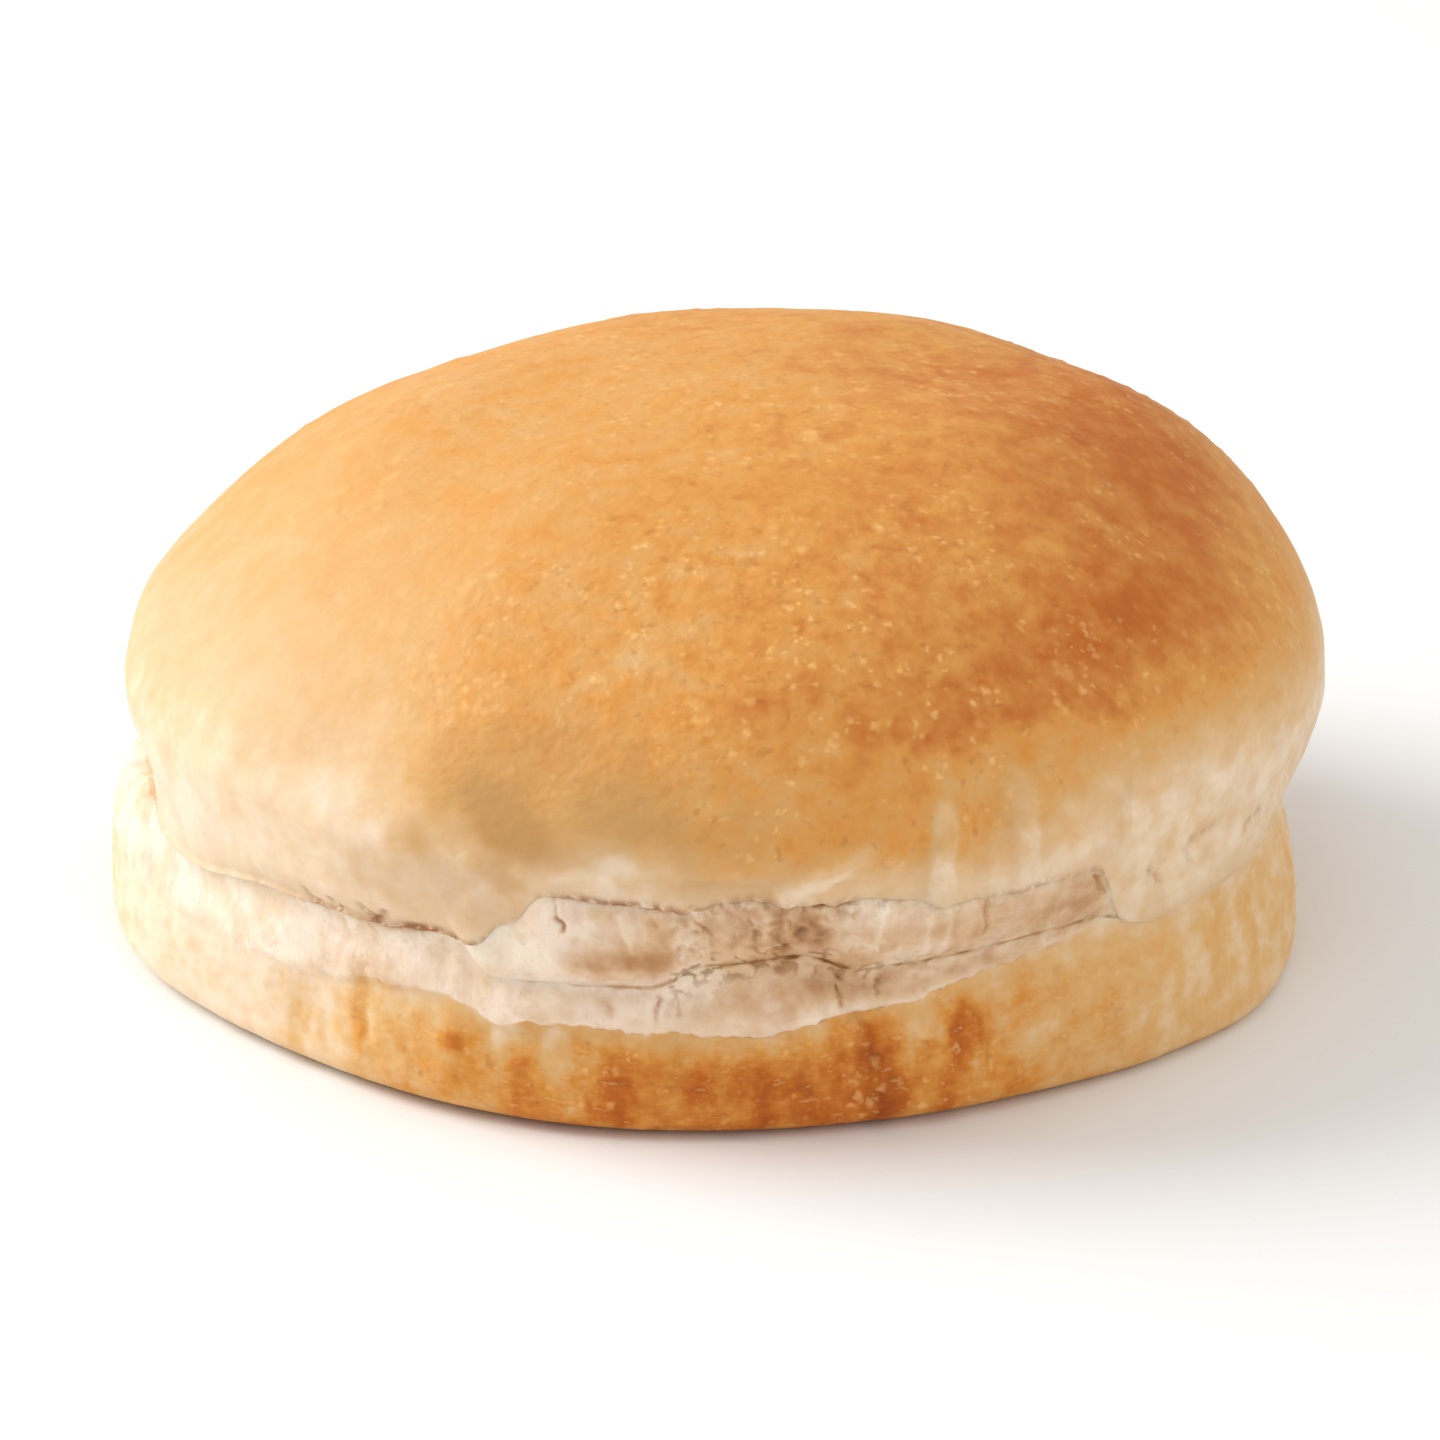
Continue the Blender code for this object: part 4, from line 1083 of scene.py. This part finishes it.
class Finish:
    """One bread material: its node tree, and the few kinds of pattern that bread needs."""

    def __init__(self, name, **constants):
        self.material = bpy.data.materials.new(name)
        self.material.use_nodes = True
        self.tree = self.material.node_tree
        self.shader = self.tree.nodes["Principled BSDF"]
        for key, value in constants.items():
            self.shader.inputs[key.replace("_", " ")].default_value = value
        self.place = self.node("TexCoord", output="Object")

    def node(self, kind, settings=None, sockets=None, output=0):
        """Adds a node: its settings first, then its sockets, each a number, a colour or another node's Tone."""
        made = self.tree.nodes.new("ShaderNode" + kind)
        for key, value in (settings or {}).items():
            if key == "stops":
                set_stops(made.color_ramp, value)
            else:
                setattr(made, key, value)
        for key, value in (sockets or {}).items():
            if isinstance(value, Tone):
                self.tree.links.new(value.socket, made.inputs[key])
            else:
                made.inputs[key].default_value = value
        return Tone(self, made.outputs[output])

    def drawn(self, name):
        """A value that the piece's points carry."""
        return self.node("Attribute", {"attribute_name": name}, output="Fac")

    def clouds(self, size, detail, stretch=EVEN):
        """Noise around 0.5, with features of a size in mm."""
        place = self.node("Mapping", None, {"Vector": self.place, "Scale": stretch})
        sockets = {"Vector": place, "Scale": 1 / (size * MM), "Detail": detail}
        return self.node("TexNoise", None, sockets, output="Fac")

    def ramp(self, value, low, high):
        """Smooth step of a value from 0 at low to 1 at high."""
        sockets = {"Value": value, "From Min": low, "From Max": high}
        return self.node("MapRange", {"interpolation_type": "SMOOTHSTEP"}, sockets)

    def blotches(self, size, detail, low, high, stretch=EVEN):
        """Soft patches, 0 to 1: clouds of a size in mm, through a smooth step from low to high."""
        return self.ramp(self.clouds(size, detail, stretch), low, high)

    def lines(self, size, width):
        """Winding lines, 1 along them: a smooth step of how near wide clouds are to their middle value."""
        return self.ramp(abs(self.clouds(size, 1) - 0.5), width, 0.03)

    def mix(self, share, first, second, blend="MIX"):
        """Colour between two colours."""
        settings = {"data_type": "RGBA", "blend_type": blend, "clamp_factor": True}
        return self.node("Mix", settings, {0: share, 6: first, 7: second}, output=2)

    def dots(self, size, reach, share):
        """Soft marks, 1 in the middle: a share of the cells of a size in mm hold one, and noise bends them."""
        sockets = {"Vector": self.place, "Scale": 1.6 / (size * MM), "Detail": 0}
        bend = self.node("TexNoise", None, sockets, "Color")
        sockets = {0: bend, 1: (0.7 * size * MM,) * 3, 2: self.place}
        place = self.node("VectorMath", {"operation": "MULTIPLY_ADD"}, sockets)
        cell = self.node("TexVoronoi", None, {"Vector": place, "Scale": 1 / (size * MM)}, "Distance")
        dice = self.node("SeparateColor", None, {"Color": cell.beside("Color")})
        radius = dice.beside("Green") * reach + 0.4 * reach
        return self.ramp(cell / radius, 1, 0.15) * self.ramp(dice, 1 - share, 1.04 - share)

    def colours(self, value, stops):
        """Colour along a row of stops."""
        return self.node("ValToRGB", {"stops": stops}, {"Fac": value}, output="Color")

    def show(self, colour, roughness, height, distance=0.3):
        """Puts colour, roughness and a bump whose height is in units of the distance in mm on the surface."""
        bump = self.node("Bump", None, {"Height": height, "Strength": 1, "Distance": distance * MM}, "Normal")
        for key, value in (("Base Color", colour), ("Roughness", roughness), ("Normal", bump)):
            self.tree.links.new(value.socket, self.shader.inputs[key])
        return self.material


def set_stops(ramp, stops):
    """Gives a colour ramp its stops: (place, red, green, blue) in order."""
    while len(ramp.elements) < len(stops):
        ramp.elements.new(0.5)
    for element, (place, *colour) in zip(ramp.elements, stops):
        element.position, element.color = place, ink(*colour)


def crust_colour(finish, bake, stops, raised, lively):
    """Baked crust: colour by how baked it is, with mottling, darker flecks, and light specks on its blisters
    and in
    winding chains: painted highlights where it is raised, and specks that are partly pale spots and partly
    painted glints. Also gives how golden it is, and its finest clouds."""
    broad = finish.clouds(7, 2)
    patchy = finish.clouds(2.4, 2, CRUST_STRETCH)
    fine = finish.clouds(0.7, 2)
    chains = finish.lines(4.2, 0.14)
    golden = finish.ramp(bake, 0.24, 0.46) * lively
    zone = finish.blotches(9, 2, 0.36, 0.58) * golden
    mottling = ((patchy - 0.5) * 0.4 + (fine - 0.5) * 0.1) * lively
    colour = finish.colours(bake + (broad - 0.5) * 0.2 + mottling - chains * zone * 0.06, stops)
    small_specks = finish.dots(1, 0.46, 0.7) * (chains * 0.85 + 0.15) * 0.85
    large_specks = finish.dots(1.9, 0.24, 0.4) * 0.8
    specks = small_specks.worked("MAXIMUM", small_specks, large_specks) * zone
    dark = finish.blotches(1.1, 2, 0.58, 0.74) * golden
    colour = finish.mix(dark * 0.3, colour, FLECK_COLOUR)
    # Lighter where raised, as painted highlights on the crown's blister tops and as pale flakes on the heel,
    # and at the specks, partly pale spots and partly painted glints
    colour = finish.mix(finish.ramp(raised, 0.1, 0.9) * 0.3 + specks * 0.62, colour, SPECK_AND_GLINT_COLOUR)
    return colour, golden, fine


def crust_height(finish, golden):
    """Height of the crust's finest relief: soft wrinkles and grain, fainter where the crust is pale."""
    wrinkles = finish.clouds(1.5, 1, WRINKLE_STRETCH) * 0.55 + finish.clouds(0.5, 1) * 0.15
    return wrinkles * (golden * 0.65 + 0.35)


def crumb_colour(finish, hollow):
    """Torn crumb: cream with warm, pinkish and tan clouds, painted shade in its hollows and creases, painted
    light on its crests, and curled flecks where it is ragged."""
    warm = finish.blotches(5, 2, 0.42, 0.62)
    pink = finish.blotches(3.4, 2, 0.48, 0.66, CRUMB_STRETCH)
    tan = finish.blotches(2.2, 3, 0.5, 0.68, TAN_STRETCH)
    colour = finish.mix(warm * 0.7, CRUMB_LIGHT, CRUMB_WARM)
    colour = finish.mix(pink * 0.4, colour, CRUMB_PINK)
    colour = finish.mix(tan * 0.35, colour, CRUMB_TAN)
    shade = hollow + (finish.clouds(0.9, 3) - 0.5) * 0.25
    colour = finish.mix(1, colour, finish.colours(shade, HOLLOW_SHADE_STOPS), "MULTIPLY")
    curls = finish.lines(1.8, 0.1) * finish.blotches(1.2, 2, 0.41, 0.53)
    return finish.mix(curls * finish.drawn("flecked") * 0.85, colour, FLECK_BROWN)


def crumb_height(finish):
    """Height of the crumb's finest relief: small open pores and soft grain."""
    pits = finish.blotches(0.8, 1, 0.42, 0.3)
    return finish.clouds(1.1, 3) * 0.5 + finish.clouds(0.35, 1) * 0.18 - pits * 0.13


def crust_finish():
    """Finish of the crown's crust, paler beside the tear, brown along the torn edge, partly as painted shadow
    under its lip, and with tan patches that are partly painted shade.
    """
    finish = Finish("golden_crust", Specular_IOR_Level=CRUST_GLOSS, **SOFT_CRUST)
    baked, raised, lively = (finish.drawn(name) for name in ("bake", "raised", "lively"))
    colour, golden, fine = crust_colour(finish, baked, CROWN_STOPS, raised, lively)
    # Tan patches, partly the crust's tone and partly painted shade
    colour = finish.mix(finish.drawn("tanned"), colour, SHADED_TAN)
    pale = finish.ramp(baked, 0.36, 0.12) * finish.blotches(3.6, 2, 0.44, 0.6, CRUMB_STRETCH)
    colour = finish.mix(pale * 0.22, colour, PALE_TAN)
    torn = finish.drawn("torn") * finish.blotches(3, 3, 0.3, 0.6)
    colour = finish.mix(torn * 0.6, colour, TORN_PALE)
    # Brown of the torn edge, partly painted shadow under its lip
    brown = finish.drawn("brown") * finish.blotches(0.9, 2, 0.3, 0.55)
    colour = finish.mix(brown * 0.9, colour, EDGE_BROWN_AND_SHADOW)
    return finish.show(colour, 0.5 + fine * 0.2, crust_height(finish, golden), 0.42)


def crumb_finish():
    """Finish of the crown's torn crumb."""
    finish = Finish("torn_crumb", Specular_IOR_Level=CRUMB_GLOSS, **SOFT_CRUMB)
    colour = crumb_colour(finish, finish.drawn("hollow"))
    return finish.show(colour, 0.74 + finish.clouds(1, 1) * 0.15, crumb_height(finish))


def heel_finish():
    """Finish of the heel: crumb on its cut face and rim, streaky and flaky crust below the rim."""
    finish = Finish("heel_crust_and_rim", Specular_IOR_Level=HEEL_GLOSS, **SOFT_CRUMB)
    baked, hollow = finish.drawn("bake"), finish.drawn("hollow")
    streaky, flaky = finish.clouds(2.2, 3, STREAK_STRETCH), finish.clouds(1.3, 3, FLAKE_STRETCH)
    bake = baked + ((streaky - 0.5) * 0.7 + (flaky - 0.5) * 0.46) * finish.ramp(baked, 0.05, 0.65)
    flakes = finish.ramp(flaky, 0.54, 0.74) * finish.ramp(baked, 0.15, 0.5)
    crust, golden, fine = crust_colour(finish, bake, HEEL_STOPS, flakes, 1)
    # The crust darkened by painted shade in its cracks and below its top edge
    crust = finish.mix(finish.ramp(hollow, 0.2, 0.9) * 0.6, crust, HOLLOW_SHADE_BROWN)
    share = finish.drawn("crumb") + (finish.clouds(1.3, 3, BORDER_STRETCH) - 0.5) * 0.9
    share = finish.ramp(share, 0.28, 0.72)
    colour = finish.mix(share, crust, crumb_colour(finish, hollow))
    border = share * (1 - share) * finish.blotches(0.9, 2, 0.48, 0.64) * finish.ramp(baked, 0.1, 0.4)
    colour = finish.mix(border * 3.2, colour, BORDER_BROWN)
    height = crumb_height(finish) * share + crust_height(finish, golden) * (1 - share)
    return finish.show(colour, 0.58 + share * 0.2 + fine * 0.12, height)


def dress(piece, material, node):
    """Gives a piece its finish, and makes it stand for its solid."""
    piece.data.materials.append(material)
    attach(piece, "root")
    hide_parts(node)


dress(crown_crust(), crust_finish(), "crown")
dress(crown_crumb(), crumb_finish(), "crown")
dress(heel(), heel_finish(), "heel")

# Studio: a pale floor, an even pale sky and soft lamps, the strongest at the left
FLOOR_HALF = 3
FLOOR_COLOUR, FLOOR_ROUGHNESS = (0.9, 0.9, 0.9, 1), 0.9
SKY_COLOUR, SKY_STRENGTH = (1, 0.99, 0.975, 1), 0.64
# (name, bearing and elevation in degrees, distance in metres, width in metres, watts, colour)
LAMPS = (
    ("key", -104, 34, 1.2, 0.8, 13, (1, 1, 1)),
    ("fill", 62, 22, 1.4, 1, 3.3, (1, 0.94, 0.86)),
    ("low", -4, 8, 1.4, 1, 0.8, (1, 0.96, 0.9)),
    ("top", 10, 80, 1.3, 0.8, 1, (1, 1, 1)),
)
LAMP_AIM = Vector((0, 0, 0.022))
CAMERA_AIM = Vector((-0.00008, 0, 0.017))
CAMERA_ELEVATION, CAMERA_DISTANCE = 20.77, 0.62
LENS, SENSOR, NEAREST = 183.7, 36, 0.01


def towards(bearing, elevation):
    """Direction at a bearing and an elevation, both in degrees."""
    around, above = math.radians(bearing), math.radians(elevation)
    return Vector((math.sin(around) * math.cos(above), -math.cos(around) * math.cos(above), math.sin(above)))


def lamp(name, bearing, elevation, distance, width, watts, colour):
    """Square soft lamp that faces the bun."""
    light = bpy.data.lights.new(name, "AREA")
    light.energy, light.size, light.color = watts, width, colour
    made = placed(name, light)
    made.location = LAMP_AIM + towards(bearing, elevation) * distance
    made.rotation_euler = towards(bearing, elevation).to_track_quat("Z", "Y").to_euler()


def floor():
    """Plain pale floor under the bun."""
    corners = [(x * FLOOR_HALF, y * FLOOR_HALF, 0) for x, y in ((-1, -1), (1, -1), (1, 1), (-1, 1))]
    mesh = bpy.data.meshes.new("floor")
    mesh.from_pydata(corners, [], [(0, 1, 2, 3)])
    finish = Finish("pale_floor", Base_Color=FLOOR_COLOUR, Roughness=FLOOR_ROUGHNESS)
    mesh.materials.append(finish.material)
    placed("floor", mesh)


def sky():
    """Even pale light from all round."""
    world = bpy.data.worlds.new("pale_sky")
    world.use_nodes = True
    background = world.node_tree.nodes["Background"]
    background.inputs["Color"].default_value = SKY_COLOUR
    background.inputs["Strength"].default_value = SKY_STRENGTH
    bpy.context.scene.world = world


def camera():
    """Camera at the photo's viewing angle: about 21 degrees above the bun's front, with a long lens."""
    lens = bpy.data.cameras.new("camera")
    lens.lens, lens.sensor_width, lens.clip_start = LENS, SENSOR, NEAREST
    made = placed("camera", lens)
    shift = Vector(CENTRE_SHIFT * MM)
    made.location = shift + LAMP_AIM + towards(0, CAMERA_ELEVATION) * CAMERA_DISTANCE
    made.rotation_euler = (shift + CAMERA_AIM - made.location).to_track_quat("-Z", "Y").to_euler()
    bpy.context.scene.camera = made


for settings in LAMPS:
    lamp(*settings)
floor()
sky()
camera()
bpy.context.scene.view_settings.view_transform = "Standard"
